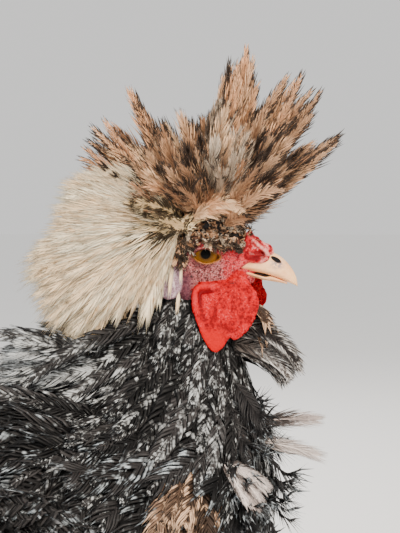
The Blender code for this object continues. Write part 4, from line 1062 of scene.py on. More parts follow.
def bill_half(rows, low_edge):
    """A closed half of the bill; low_edge tells where its widest level is, from the bottom."""
    where, turn = round_grid(0, len(rows) - 1, 90, 64)
    x, top, bottom, half_width = np.moveaxis(along_rows(rows, where), -1, 0)
    wave = np.sin(turn)
    edge = bottom + (top - bottom) * low_edge
    z = edge + np.where(wave > 0, (top - edge) * wave, (edge - bottom) * wave)
    y = squarer(np.cos(turn), 0.8) * half_width * np.where(wave > 0, 1 - 0.16 * wave ** 2, 1)
    return x, y, z


def nostril_masks(x, z):
    """The nostril's slit, painted black as its shade, the flap over it and the painted shade below,
    seen from the side.
    """
    dx, dz = x - 33.4, z + 2.9
    u, v = dx * 0.87 - dz * 0.5, dx * 0.5 + dz * 0.87
    slit = np.exp(-((u / 2.7) ** 2 + (v / 1.0) ** 2) ** 1.6)
    flap = np.exp(-((u / 3.0) ** 2 + ((v - 1.6) / 0.8) ** 2))
    return slit, flap, np.exp(-((dx - 0.6) / 2.6) ** 2 - ((dz + 2.3) / 1.8) ** 2)


print("the bill reaches", UPPER_BILL[-1][0], "mm ahead of the eyes")

# %% [markdown]
# Horn grows in layers, so its lines run along the bill. It is pinker at the root and yellow at the tip.

# %% Bill and mouth
bill = Look(
    "horn_bill", 0.30, Subsurface_Weight=0.06, Subsurface_Scale=0.002, Coat_Weight=0.06,
    Coat_Roughness=0.3, Specular_IOR_Level=0.16)
growth = bill.noise(bill.stretched(0.35, 1.6, 1.6), 900.0, 3.0)
cloud = bill.noise(bill.place(), 150.0, 3.0)
mottle = bill.step(bill.noise(bill.place(), 800.0, 3.0), 0.32, 0.55)
reach, is_nostril = from_eye(bill, 0), bill.attribute("nostril")
horn_colour = bill.layered(
    (0.76, 0.345, 0.15), (bill.step(cloud + growth * 0.3, 0.35, 0.85), (0.91, 0.54, 0.285)),
    (bill.step(reach, 38.0, 44.0) * 0.6, (0.86, 0.50, 0.20)),
    (bill.step(reach, 22.0, 14.0) * 0.5, (0.78, 0.33, 0.22)),
    # Painted shade: mottled blue-grey under the nostril's flap, and near black in the slit itself.
    (bill.attribute("painted_shade_below_nostril") * mottle * 0.8, (0.17, 0.16, 0.21)),
    (bill.step(is_nostril, 0.25, 0.75), (0.004, 0.004, 0.006)))
bill_look = bill.finish(
    horn_colour, 0.26 + growth * 0.25 + is_nostril * 0.4, growth, 0.00014, (1 - is_nostril) * 0.06)
for name, rows, low_edge in (("upper", UPPER_BILL, 0.26), ("lower", LOWER_BILL, 0.72)):
    x, y, z = bill_half(rows, low_edge)
    nostril, flap, below = nostril_masks(x, z) if name == "upper" else (0 * x, 0 * x, 0 * x)
    y = y * (1 - 0.34 * nostril + 0.07 * flap)
    points, faces = lofted(EYE + np.stack((x, y, z), -1) * MM)
    numbers = {
        key: np.concatenate((np.clip(values * gain, 0, 1).ravel(), (0, 0)))
        for key, values, gain in (("nostril", nostril, 1.8), ("painted_shade_below_nostril", below, 1.7))}
    new_piece("bill_horn_" + name, points, faces, bill_look, ("bill_" + name,), numbers)

# Painted shade: a near-black piece in the gape stands for the shade inside the mouth.
mouth = Look("mouth_gap_shade", 0.5, Specular_IOR_Level=0.1)
mouth_look = mouth.finish(
    mouth.blend(mouth.noise(mouth.place(), 600.0), (0.004, 0.0015, 0.0015), (0.014, 0.005, 0.005)),
    0.35 + mouth.noise(mouth.place(), 900.0) * 0.3)
points, faces = ball((23, 0, -10.0), (10.0, 4.6, 1.5))
points[:, 2] -= np.maximum(points[:, 0] - EYE[0] - 26 * MM, 0) * 0.35  # bends down with the bill
new_piece("mouth_gap_shade", points, faces, mouth_look)


# %% [markdown]
# Under the feathers lies plain skin. It shows only in slits between them, but it carries the same
# black and white, so that a gap never reads as a hole.

# %% Skin of the body
under = Look("feathered_skin", 0.8)
field = under.noise(under.stretched(0.6, 1.0, 1.0), 110.0, 3.0)
under_look = under.finish(
    under.blend(under.step(field, 0.52, 0.64), (0.012, 0.012, 0.014), (0.16, 0.17, 0.19)),
    0.7 + field * 0.2, under.noise(under.place(), 900.0), 0.0004)
new_piece(
    "body_skin", body_points, body_faces, under_look,
    ("torso", "neck", "thigh_right", "thigh_left"))

# %% [markdown]
# Body feathers grow in rows, each row half a step round from the one before. They lie flatter where
# the wattles and earlobes rest on them.

# %% Where feathers grow
BACK, BELLY = 90.0, -90.0  # degrees round the body; the left side is 0 and the right side 180


def roots(first, last, step, spacing, draw):
    """Stations and angles of roots in staggered rows; step and spacing are in millimetres."""
    where, row = first, 0
    while where < last:
        here, there = along_rows(BODY_ROWS, np.array((where, where + 0.05)))
        stride = max(np.hypot(*(there - here)[:2]) / 0.05, 6.0)
        around = max(int(2 * np.pi * (here[2] + here[3]) / 2 / spacing), 10)
        for i in range(around):
            station = where + draw.uniform(-0.25, 0.25) * step / stride
            yield station, 360 * (i + 0.5 * (row % 2) + draw.uniform(-0.22, 0.22)) / around
        where += step / stride
        row += 1


def room(place):
    """How freely feathers can stand off: nearly 0 under the wattles and earlobes, 1 elsewhere."""
    x, y, z = (np.array(place) - EYE) / MM
    wattle = math.hypot((x - 9) / 24, (z + 28) / 26)
    lobe = math.hypot((x + 15) / 11, (z + 12) / 14)
    return float(0.05 + 0.95 * smoothstep(min(wattle, lobe), 0.92, 1.3))


def root_on_body(station, angle):
    """Where a feather is rooted in the body's skin, and the way out of the skin there."""
    start, above = (body_surface(station, math.radians(angle), inset) for inset in (COAT_DEPTH, 0))
    return start, unit(above - start)


for name, place in (("low on the breast", (0, -20, -110)), ("under a wattle", (9, 0, -28))):
    print("room", name, round(room(by_eye(*place)), 2))

# %% [markdown]
# cover() walks down the rows and lays at each root a feather of the size that grows there. Breast
# and belly feathers are short and round, those of the saddle and neck long and pointed.

# %% Rows of feathers on the body
def cover(name, kind, coat, stations, step, spacing, wanted, size, way, lifts, marks, curl):
    """Covers part of the body; wanted, size and way are asked for every root."""
    draw = coat.draw
    for station, angle in roots(*stations, step, spacing, draw):
        up = math.sin(math.radians(angle))
        if not wanted(station, up):
            continue
        start = body_surface(station, math.radians(angle), COAT_DEPTH)
        length, half_width = size(station, up)
        scale = draw.uniform(0.85, 1.15)
        heading = np.array(way(up, start[1])) + draw.normal(0, 0.10, 3)
        bend = draw.uniform(*curl)
        lay(
            coat, body_tree, start, heading, length * scale, half_width * draw.uniform(0.88, 1.12),
            [v * room(start) for v in lifts], skin_patch(station, angle), draw.uniform(*marks), bend,
            draw.uniform(-0.25, 0.25))
    make(coat, name, kind)


def under_wing(station, up):
    return 2.6 < station < 5.4 and -0.22 < up < 0.42


cover(
    "breast_feathers", "body", Coat(13, rounded, 101, (48, 24), 0.30, 0.16, 0.22, 1.35),
    (3.9, 7.9), 8.6, 9.2, lambda s, up: up < 0.35 and not under_wing(s, up),
    lambda s, up: (34 - 1.6 * (s - 4), 7.4), lambda up, y: (-0.72, 0.0, -0.62),
    (-1.0, 5.5, 8.0), (0.24, 0.40), (0.0, 0.16))
cover(
    "belly_feathers", "body", Coat(10, rounded, 102, (48, 24), 0.30, 0.2, 0.2, 1.4),
    (0.9, 3.9), 9.5, 9.5, lambda s, up: up < 0.30 and not under_wing(s, up),
    lambda s, up: (36, 8.0), lambda up, y: (-1.0, 0.0, -0.15),
    (-1.0, 5.0, 8.5), (0.24, 0.46), (0.0, 0.08))
cover(
    "back_feathers", "body", Coat(12, rounded, 103, (46, 22), 0.30, 0.14, 0.22, 1.3),
    (3.2, 7.4), 10.2, 10.5, lambda s, up: up >= 0.30,
    lambda s, up: (36, 7.6), lambda up, y: (-1.0, y * 2.0, -0.35),
    (-1.0, 5.0, 7.0), (0.18, 0.36), (0.0, 0.05))
cover(
    "saddle_feathers", "hackle", Coat(15, pointed, 104, (40, 16), 0.22, 0.14, 0.28, 1.35),
    (0.7, 3.6), 8.6, 8.2, lambda s, up: up >= 0.10,
    lambda s, up: (66 - 7 * s, 4.8), lambda up, y: (-0.85, y * 6.0, -0.5),
    (-1.0, 5.0, 8.0), (0.28, 0.54), (0.0, 0.04))

# %% [markdown]
# The neck wears the cape: narrow pointed feathers, white streaked on black, that fall over the
# shoulders. The bird holds its neck drawn in, so the cape at the nape is ruffled and stands back.

# %% Hackle and cape
cover(
    "hackle_feathers", "hackle", Coat(15, pointed, 105, (42, 16), 0.25, 0.14, 0.26, 1.35),
    (6.9, 10.9), 6.9, 7.0, lambda s, up: True,
    lambda s, up: (50 - 4.5 * (s - 7) + 8 * max(up, 0), 4.4),
    lambda up, y: (-0.42 - 0.3 * max(up, 0), y * 3.0, -1.0),
    (-1.0, 4.2, 7.5), (0.33, 0.47), (0.0, 0.10))

cape = Coat(28, pointed, 106, (34, 12), 0.25, 0.2, 0.3, 1.3)
for i in range(128):
    draw, ruffled = cape.draw, i % 5 < 2
    station = draw.uniform(7.3, 9.0) if ruffled else draw.uniform(7.4, 10.2)
    angle = BACK + draw.uniform(-58, 58) * (0.75 if ruffled else 1)
    start, outward = root_on_body(station, angle)
    fall = draw.uniform(-0.30, 0.22) if ruffled else draw.uniform(0.35, 1.0)
    way = unit(np.array((-0.95, outward[1] * 0.2, -fall)) + draw.normal(0, 0.05, 3))
    length = draw.uniform(52, 78) * MM
    middle = start + way * length * 0.5 + outward * draw.uniform(4, 7) * MM
    tip = start + way * length + outward * draw.uniform(0, 4) * MM
    cape.add(
        start - outward * MM, middle, tip - (0, 0, (5 if ruffled else 9) * MM),
        unit(outward * (1, 1.4, 1) + (0, 0, 0.35)), draw.uniform(4.0, 5.4),
        skin_patch(station, angle), draw.uniform(0.34, 0.62))
make(cape, "cape_feathers", "hackle")

# %% [markdown]
# On the breast some feathers are frizzled: they curl up and forward and show their pale undersides.
# Lower down they turn brownish. A few large ones stand out under the chin.

# %% Curled breast feathers
frizzle = Coat(18, rounded, 107, (50, 32), 0.4, 0.14, 0.25, 1.4)
brown = Coat(18, rounded, 108, (46, 24), 0.4, 0.25, 0.25, 1.35)
lock = Coat(24, pointed, 110, (34, 14), 0.3, 0.2, 0.3, 1.4)
quills = Coat(44, pointed, 109, (30, 13), 0.15, 0.05, 0.45, 1.5)
for i in range(96):
    draw = frizzle.draw
    station = draw.uniform(5.4, 8.8)
    angle = BELLY + draw.uniform(-62, 62)
    start, outward = root_on_body(station, angle)
    length = draw.uniform(24, 38) * MM * (1.0 if station < 8 else 0.8)
    way = unit(outward * draw.uniform(0.05, 0.22) + (0.05, 0, -0.9) + draw.normal(0, 0.10, 3))
    coat = brown if station < 6.9 and draw.random() < 0.7 else frizzle
    coat.add(
        start - outward * MM, start + way * length * 0.5 + outward * 4 * MM, start + way * length,
        unit(outward + (0, 0, 0.4)), draw.uniform(5.5, 8.0), skin_patch(station, angle),
        draw.uniform(0.22, 0.46), draw.uniform(0.15, 0.45))
print("curled", len(frizzle.rows), "and brown", len(brown.rows))

# %% [markdown]
# The tufts beside the wattle and before the breast stand so freely that they are placed one by one. A
# tuft runs from one feather to another; root, middle and tip are given for both.

# %% Tufts on the breast
# First and last feather; half width, how far they spread sideways, count, amount of marks, kind.
TUFTS = (
    (((2, -34), (27, -36), (45, -57)), ((2, -51), (22, -52), (35, -65)), 4.4, 13, 26, 0.44, lock),
    (((4, -22), (22, -24), (30, -37)), ((4, -30), (20, -33), (28, -46)), 3.4, 10, 11, 0.40, brown),
    (((24, -82), (38, -80), (53, -79)), ((24, -83), (38, -82), (51, -82)), 5.0, 5, 2, 0.62, quills),
    (((22, -91), (37, -92), (53, -96)), ((22, -93), (36, -95), (50, -98)), 5.6, 5, 2, 0.42, quills),
)


def scattered(i):
    """Numbers from -1 to 1 that never bunch, for i = 0, 1, 2 and so on."""
    return i * 0.618 % 1 * 2 - 1


def side_of_body(x, z, side):
    """The body's skin as met from the side, or None; x and z are seen from the eye."""
    return body_tree.ray_cast(Vector(by_eye(x, 120 * side, z)), Vector((0, -side, 0)))[0]


for first, last, half_width, spread, count, marks, coat in TUFTS:
    draw = coat.draw
    for i in range(count):
        y = scattered(i) * spread
        shown = mix(np.array(first), np.array(last), (i + 0.5) / count)
        places = [
            by_eye(*((ahead, y * (0.6 + 0.3 * k), up) + draw.normal(0, 0.7, 3)))
            for k, (ahead, up) in enumerate(shown)]
        coat.add(
            *places, unit(np.array((0.6, y / 8 + 0.3 * draw.normal(), 0.7))), half_width,
            (0.75 + 0.01 * y, 0.72), marks, 0.0 if coat is quills else 0.12)
for i in range(42):
    side, draw = (-1, 1)[i % 2], brown.draw
    start = side_of_body(draw.uniform(-13, 8), draw.uniform(-118, -92), side)
    turned = math.radians(-115 + draw.normal(0, 12))
    lay(
        brown, body_tree, start, (math.cos(turned), 0, math.sin(turned)), draw.uniform(24, 32),
        draw.uniform(4.0, 5.4), (0, 8.5, 11), (0.5 + 0.25 * side, 0.4 + 0.005 * i),
        draw.uniform(0.22, 0.48), 0.08, draw.uniform(-0.2, 0.2))
for i in range(10):  # a few pale ones fan out over them
    side, draw = (-1, 1)[i % 2], quills.draw
    start = side_of_body(draw.uniform(6, 9), draw.uniform(-96, -92), side)
    turned = math.radians(-30 - 13 * (i // 2))
    lay(
        quills, body_tree, start, (math.cos(turned), 0, math.sin(turned)), draw.uniform(17, 21),
        draw.uniform(2.0, 2.6), (2, 12, 15), (0.5 + 0.25 * side, 0.61 + 0.005 * i),
        0.5, 0.08, draw.uniform(-0.2, 0.2))
# The locks' pale marks are painted sheen.
make(lock, "breast_locks_painted_sheen", "lock")
make(quills, "pale_breast_quills", "quill")
make(frizzle, "curled_breast_feathers", "body")
make(brown, "brown_breast_feathers", "breast")

# %% [markdown]
# The crest is a fan of long, narrow, loose feathers that spring from the knob on the skull, in
# bunches that share a direction. The tips that make the outline are placed one by one.

# %% Tables of the crest
CREST_ROOT, CREST_SIZE = np.array((0.0, 0, 12.0)), np.array((20.0, 14.0, 14.0))
# Angle seen from the eye, and how far the crest reaches there.
CREST_REACH = (
    (39, 40), (42, 80), (48, 72), (55, 90), (61, 94), (66, 90), (72, 76), (77, 92), (80, 96), (84, 92),
    (88, 76), (96, 66), (112, 66), (122, 74), (132, 80), (140, 66), (147, 48), (156, 34))
# Tips of the outline by kind of feather: ahead of and above the eye.
CREST_TIPS = {
    "brown": (
        (64, 57), (57, 51), (50, 52), (54, 77), (50, 66), (38, 83), (46, 72), (29, 70), (22, 92),
        (2, 66), (-2, 64), (-7, 62), (-12, 65), (-26, 60)),
    "tan": (
        (45, 84), (34, 74), (19, 98), (15, 90), (11, 92), (8, 84), (24, 80), (-37, 78), (-34, 72),
        (-21, 62), (-48, 63), (-54, 60), (-57, 54), (-59, 45), (-57, 36), (-52, 50)),
    "grey": ((6, 72),)}
# Streaks on the crest's side by kind: tip ahead, above and out, and amount of marks.
CREST_STREAKS = {
    "grey": (
        (13, 56, 29, 0.10), (17, 57, 30, 0.22), (20, 54, 32, 0.06), (22, 50, 33, 0.16),
        (18, 48, 34, 0.04), (14, 46, 34, 0.24)),
    "brown": (
        (28, 56, 30, 1.0), (31, 50, 31, 1.1), (27, 46, 33, 1.0), (33, 42, 28, 1.0), (38, 52, 13, 0.8),
        (46, 50, 11, 0.75), (40, 36, 11, 0.8), (34, 30, 11, 0.85), (-2, 54, 26, 0.9),
        (-8, 50, 27, 0.85), (4, 48, 29, 0.8), (-48, 42, 20, 0.9), (-42, 37, 22, 1.0),
        (-30, 36, 24, 0.8), (-22, 40, 25, 0.9), (-16, 34, 26, 0.8))}


def reach_at(table, angle):
    return float(np.interp(angle, *zip(*table)))


print("the crest reaches", max(reach for angle, reach in CREST_REACH), "mm from the eye")

# %% [markdown]
# Each tip gets four feathers: two that end there, one on each side of the head, and two shorter
# ones beside them. The bunches between are spread evenly over the dome by the golden angle.

# %% Crest
GOLDEN = math.pi * (3 - math.sqrt(5))
BUNCHES = 150
coats = {
    kind: Coat(34, pointed, seed, (32, 11), 0.22, 0.42, 0.24, 1.05, 0.15)
    for kind, seed in (("tan", 201), ("brown", 202), ("grey", 203))}
coats["streaked"] = Coat(26, pointed, 207, (28, 9), 0.2, 0.3, 0.22, 1.3, 0.10)


def spring(coat, tip, half_width, amount, tilt):
    """A crest feather from the knob to its tip, in millimetres from the point between the eyes."""
    draw = coat.draw
    tip = np.array(tip, float)
    outward = math.copysign(1.0, tip[1])
    root = CREST_ROOT + unit(tip - CREST_ROOT) * CREST_SIZE * 0.84
    sideways = unit(np.cross(tip - root, (0.0, 1.0, 0.0)))
    bend = sideways * draw.normal(0, 1.6) + (0, 1.6 * outward, 0) + draw.normal(0, 0.8, 3)
    facing = unit(np.array((0.35 * draw.normal(), outward, 0.3 + 0.35 * draw.normal())))
    angle = math.degrees(math.atan2(tip[2], tip[0]))
    where = (0.01 + 0.98 * ((angle % 360) / 360), 0.05 + 0.9 * (tilt + 90) / 180)
    places = (by_eye(*place) for place in (root, (root + tip) / 2 + bend, tip))
    coat.add(*places, facing, half_width, where, amount)


for kind, tips in CREST_TIPS.items():
    draw = coats[kind].draw
    for twin, (x, z) in ((twin, tip) for tip in tips for twin in range(4)):
        y = (-1, 1)[twin % 2] * draw.uniform(0.5, 14)
        if twin > 1:
            x, z = x * draw.uniform(0.9, 1.0), z * draw.uniform(0.90, 1.0)
        spring(coats[kind], (x, y, z), draw.uniform(2.6, 3.6), draw.uniform(0.26, 0.52), 2 * y)
for i in range(BUNCHES):
    tilt = math.degrees(math.asin(1 - 2 * (i + 0.5) / BUNCHES)) * 0.72
    angle = 41 + (math.degrees(i * GOLDEN) % 360) * 110 / 360
    dark = angle < 66 or 92 < angle < 122
    kind = "brown" if dark else ("grey" if i % 5 < 2 and angle < 100 else "tan")
    if angle > 138 and abs(tilt) > 10:
        kind = "streaked"
    a, b = math.radians(angle), math.radians(tilt)
    draw = coats[kind].draw
    for twin in range(2):
        reach = reach_at(CREST_REACH, angle) * draw.uniform(0.50, 0.93)
        flat = reach * (1 - 0.30 * abs(tilt) / 64)
        tip = (math.cos(a) * flat, math.sin(b) * 48, math.sin(a) * flat) + draw.normal(0, 1.8, 3)
        spring(
            coats[kind], tip, draw.uniform(2.8, 3.9),
            draw.uniform(0.16, 0.50) + 0.12 * dark + 0.2 * (kind == "streaked"), tilt)
for kind, streaks in CREST_STREAKS.items():
    for x, z, y, marks in streaks:
        for side in (-1, 1):
            spring(coats[kind], (x, y * side, z), 2.4, marks, 50 * side)
make(coats["tan"], "crest_feathers", "tan", ("crest",))
make(coats["brown"], "brown_crest_feathers", "brown")
make(coats["grey"], "grey_crest_feathers", "grey")

# %% [markdown]
# Below the fan the knob itself is covered by small curled feathers, down to the eyebrow and up to
# the combs. They are laid over the skin of the head and the knob together.

# %% Knob
KNOB, KNOB_SIZE = (-3, 0, 8), np.array((22, 15, 16.5))
points, faces = ball((-3, 0, 8.6), KNOB_SIZE - 1.2)
new_piece("crest_knob", points, faces, under_look)
head_corners = np.concatenate((head_faces[:, (0, 1, 2)], head_faces[:, (0, 2, 3)]))
knob_tree = tree_of(*merged([(head_points, head_corners), ball(KNOB, KNOB_SIZE)]))
knobs = [Coat(9, rounded, seed, (44, 18), 0.3, 0.2, 0.2, 1.35, 0.08) for seed in (204, 205)]


def small_curl(x, z, side, way, length, curl):
    """A small curled feather of the knob, at a place seen from the side."""
    coat = knobs[knobs[0].draw.random() < 0.6]
    draw = coat.draw
    off = ((x - KNOB[0]) / KNOB_SIZE[0]) ** 2 + ((z - KNOB[2]) / KNOB_SIZE[2]) ** 2
    bulge = math.sqrt(max(1 - off, 0))
    lay(
        coat, knob_tree, by_eye(x, side * (KNOB_SIZE[1] * bulge + 3), z),
        np.array(way) + draw.normal(0, 0.35, 3), length, draw.uniform(1.8, 2.7), (-0.4, 1.4, 2.2),
        (0.02 + 0.96 * (x + 26) / 52, 0.05 + 0.9 * (z + 10) / 36),
        draw.uniform(0.30, 0.85), curl, draw.uniform(-0.5, 0.5))


draw = np.random.default_rng(210)
for side in (-1, 1):
    for i in range(96):  # two rows along the eyebrow
        x = -14 + 32.5 * (i + draw.uniform(0, 1)) / 96
        z = draw.uniform(6.0, 7.3) + (0, 3.2)[i % 2] - 0.15 * x
        length = draw.uniform(3.0, 4.2) + (0, 1.2)[i % 2]
        small_curl(x, z, side, (0.3, 0, -1.0), length, draw.uniform(0, 0.4))
    for i in range(104):  # the side of the knob
        x, z = draw.uniform(-15, 18.5), draw.uniform(7.5, 22)
        way = (draw.uniform(-0.8, 0.8), 0, draw.uniform(-0.6, 0.9))
        small_curl(x, z, side, way, draw.uniform(6, 9), draw.uniform(0.4, 1.2))
    for i in range(54):  # behind the eye
        x = draw.uniform(-17, -6.5)
        z = draw.uniform(4.6 + 1.1 * (x + 5.6), 9)
        small_curl(x, z, side, (-0.5, 0, -0.8), draw.uniform(4.5, 6.5), draw.uniform(0, 0.3))
    for i in range(26):  # behind the combs
        x, z = draw.uniform(16.5, 19), draw.uniform(4.5, 20)
        small_curl(x, z, side * draw.uniform(0.1, 0.9), (0.3, 0.2 * side, 0.6), 6, 0.3)
make(knobs[0], "knob_feathers", "grey")
make(knobs[1], "dark_knob_feathers", "brown")

# %% [markdown]
# A tan tuft arches forward over the small feathers on each side.

# %% Tan tuft
# Root, middle and tip, and half width.
TUFT_FEATHERS = (
    ((-6, 15, 19), (6, 22, 24), (18.5, 20.5, 19), 3.4),
    ((-7, 15, 17), (3, 22.5, 22), (13, 21.5, 19.5), 3.4),
    ((-8, 15, 16), (-1, 22, 19.5), (6, 21.5, 17.5), 3.0),
    ((-5, 15, 20), (4, 21, 25.5), (14, 19.5, 24), 3.0),
)
tuft = Coat(34, pointed, 205, (48, 20), 0.35, 0.25, 0.2, 1.3, 0.12)
for side in (-1, 1):
    for *places, half_width in TUFT_FEATHERS:
        tuft.add(
            *(by_eye(x, y * side, z) for x, y, z in places), unit(np.array((-0.1, side, 0.45))),
            half_width, (0.45, 0.5 + 0.1 * side), 0.10)
make(tuft, "tan_tuft", "tan")

# %% [markdown]
# A cream plume sweeps back and down from the crest over the nape. Its silky feathers lie in tiers
# over each side of the neck, so each point's distance from the middle comes from a dome, or from
# the neck below where that stands out further.

# %% The plume's surface
PLUME_FROM = np.array((-12.0, 14.0))
# Angle from that point, seen from the side, and how far the plume reaches there.
PLUME_REACH = (
    (126, 28), (136, 36), (146, 44), (155, 50), (163, 58), (173, 57), (180, 58), (187, 63), (192, 76),
    (204, 76), (214, 78), (221, 81), (228, 77), (234, 64), (239, 47), (246, 37), (249, 34), (251, 56),
    (253, 30), (258, 18))
# Where the feathers of each tier begin and end along that reach, how far out they lie, and count.
PLUME_TIERS = (
    (0.42, 1.0, 0.0, 32), (0.30, 0.93, 0.9, 31), (0.16, 0.76, 1.9, 27), (0.02, 0.56, 2.8, 23),
    (-0.10, 0.28, 3.4, 20))


def plume_spot(angle, reach):
    """Ahead of and above the eye, for an angle in radians and a reach from the plume's origin."""
    return PLUME_FROM + np.array((math.cos(angle), math.sin(angle))) * reach


def plume_row(angle):
    """Where a feather of the plume lies up the unwrap."""
    return 0.1 + 0.8 * (angle - 140) / 120


def plume_out(x, z, side, lift):
    """A point of the plume's side for a place seen from the side."""
    dome = math.sqrt(max(1 - ((x + 38) / 56) ** 2 - ((z + 2) / 54) ** 2, 0))
    out = 5 + 18 * dome * float(1 - 0.25 * smoothstep(x, -34, -10))
    hit = side_of_body(x, z, side)
    if hit and abs(hit.y) > 12 * MM:
        out = max(out, abs(hit.y) / MM + 6.5)
    return by_eye(x, side * (out + lift), z)


def sweep(coat, side, angle, begin, end, lift, half_width, amount):
    """One feather of the plume's side between two shares of its reach."""
    turned, reach = math.radians(angle), reach_at(PLUME_REACH, angle)
    places = []
    for share, more in ((begin, -0.8), ((begin + end) / 2, 0.6), (end, 0.3)):
        x, z = plume_spot(turned - 0.16 * (1 - share), reach * share)
        places.append(plume_out(x, z, side, lift + more))
    draw = coat.draw
    facing = unit(np.array((-0.15 + 0.2 * draw.normal(), side, 0.25 + 0.2 * draw.normal())))
    where = (0.25 + 0.1 * side + 0.08 * math.sin(turned), plume_row(angle))
    coat.add(*places, facing, half_width, where, amount)


print("the plume reaches", max(reach for angle, reach in PLUME_REACH), "mm back")

# %% [markdown]
# The tiers come first, from the lowest up; the highest ones near the crest are streaked with black.
# More feathers close the gap along the top and the back, and a few fine ones hang behind the ear.

# %% Plume
plume = Coat(26, pointed, 206, (24, 8), 0.2, 0.36, 0.2, 1.35, 0.06)
streaked, draw = coats["streaked"], plume.draw
for side in (-1, 1):
    for tier, (begin, end, lift, count) in enumerate(PLUME_TIERS):
        for i in range(count):
            angle = 132 + (i + draw.uniform(0.1, 0.9)) * 126 / count
            coat = streaked if tier > 3 and angle < 236 else plume
            marks = (0.10, 0.58) if coat is plume else (0.42, 0.72)
            sweep(
                coat, side, angle, begin + draw.uniform(-0.05, 0.05), end * draw.uniform(0.93, 1.0),
                lift + draw.uniform(0, 1.3), draw.uniform(3.0, 4.2), draw.uniform(*marks))


def middle_feather(angle, lean, reach, shares, facing, half_width):
    """A feather near the plume's middle; shares holds share, way back, lift and spread of 3 places."""
    places = []
    for share, back, up, spread in shares:
        x, z = plume_spot(math.radians(angle), reach * share)
        places.append(by_eye(x + back, lean * spread, z + up))
    where = (0.5 + lean / 120, plume_row(angle))
    plume.add(*places, unit(np.array(facing)), half_width, where, draw.uniform(0.2, 0.5))


for i in range(48):
    angle, lean = draw.uniform(136, 214), draw.uniform(-17, 17)
    reach = reach_at(PLUME_REACH, angle) * draw.uniform(0.7, 0.97)
    begin = draw.uniform(0.0, 0.4)
    shares = ((begin, -3), ((begin + 1) / 2, 2), (1.0, 0))
    shares = [(share, 0, up, 0.7 + 0.5 * share) for share, up in shares]
    middle_feather(angle, lean, reach, shares, (-0.4, lean / 18, 1.0), draw.uniform(3.2, 4.4))
for i in range(40):
    angle, lean = 176 + 62 * (i + 0.5) / 40, scattered(i) * 15
    reach = reach_at(PLUME_REACH, angle) * draw.uniform(0.84, 0.95)
    shares = ((0.35, -6, 0, 0.7), (0.7, -8, 0, 1.1), (1.0, 0, 0, 1.2))
    middle_feather(angle, lean, reach, shares, (-1.0, lean / 20, 0.5), draw.uniform(5.0, 6.4))
for side in (-1, 1):
    for root, tip, half_width in (
            ((-11.2, 15.6, -3.6), (-11.4, 18.0, -11.0), 0.15),
            ((-12.4, 16.4, -18.0), (-13.0, 18.4, -25.5), 0.4),
            ((-15.4, 16.6, -2.0), (-16.6, 18.4, -17.0), 0.5),
            ((-20.5, 15.6, -9.0), (-21.6, 19.0, -22.0), 1.2)):
        a, b = (by_eye(x, y * side, z) for x, y, z in (root, tip))
        middle = (a + b) / 2 + (0, 0.6 * MM * side, 0)
        plume.add(a, middle, b, (0, side, 0.2), half_width, (0.5 + 0.2 * side, 0.95), 0.2)
make(plume, "plume_feathers", "plume", ("plume",))
make(streaked, "streaked_plume_feathers", "streaked")


# %% [markdown]
# The folded wing is a fan laid shut: primaries lie lowest, then secondaries, and over them the
# coverts in rows that get shorter towards the shoulder. Each tier is laid over the same smooth
# shape, a little further out than the tier below it, which is how real wing feathers stack.

# %% The wing's shape
WING_MIDDLE, WING_SIZE, WING_TURN = (-20, 70, 250), np.array((98, 15, 43)), (-6, 6)
# Count, first and last root (x, z), first and last droop, first and last length, half width, lift.
WING_TIERS = (
    (8, (-26, 222), (-14, 246), (7, -3), (82, 93), 6.4, -1.0),
    (11, (38, 224), (0, 278), (9, 1), (102, 86), 9.0, 1.6),
    (12, (58, 229), (24, 284), (12, 3), (52, 48), 7.8, 4.2),
    (11, (72, 236), (44, 286), (14, 6), (36, 33), 6.8, 6.2),
    (11, (80, 240), (58, 284), (16, 8), (27, 25), 6.0, 7.2),
    (8, (86, 244), (70, 280), (20, 12), (22, 20), 5.6, 7.6),
)


def wing_shape(side, grow=0.0):
    """The ellipsoid that a folded wing lies on, made larger all round by some millimetres."""
    points, faces = ball((0, 0, 0), WING_SIZE + grow, 1, 40, 60)
    about_y, about_z = (math.radians(v) for v in WING_TURN)
    turn = np.array(Matrix.Rotation(about_z * side, 3, "Z") @ Matrix.Rotation(about_y, 3, "Y"))
    x, y, z = WING_MIDDLE
    return (points - EYE) @ turn.T + on_body(x, y * side, z), faces


outer_body = lofted(body_surface(*round_grid(0.4, BODY_TOP, 60, 48), 3 * MM))
print("a wing has", sum(row[0] for row in WING_TIERS), "feathers in", len(WING_TIERS), "tiers")

# %% [markdown]
# The two lowest tiers are the big quills. Small coverts are strewn over the front of the wing, and
# a few broad feathers from the shoulder bridge the gap between wing and back.

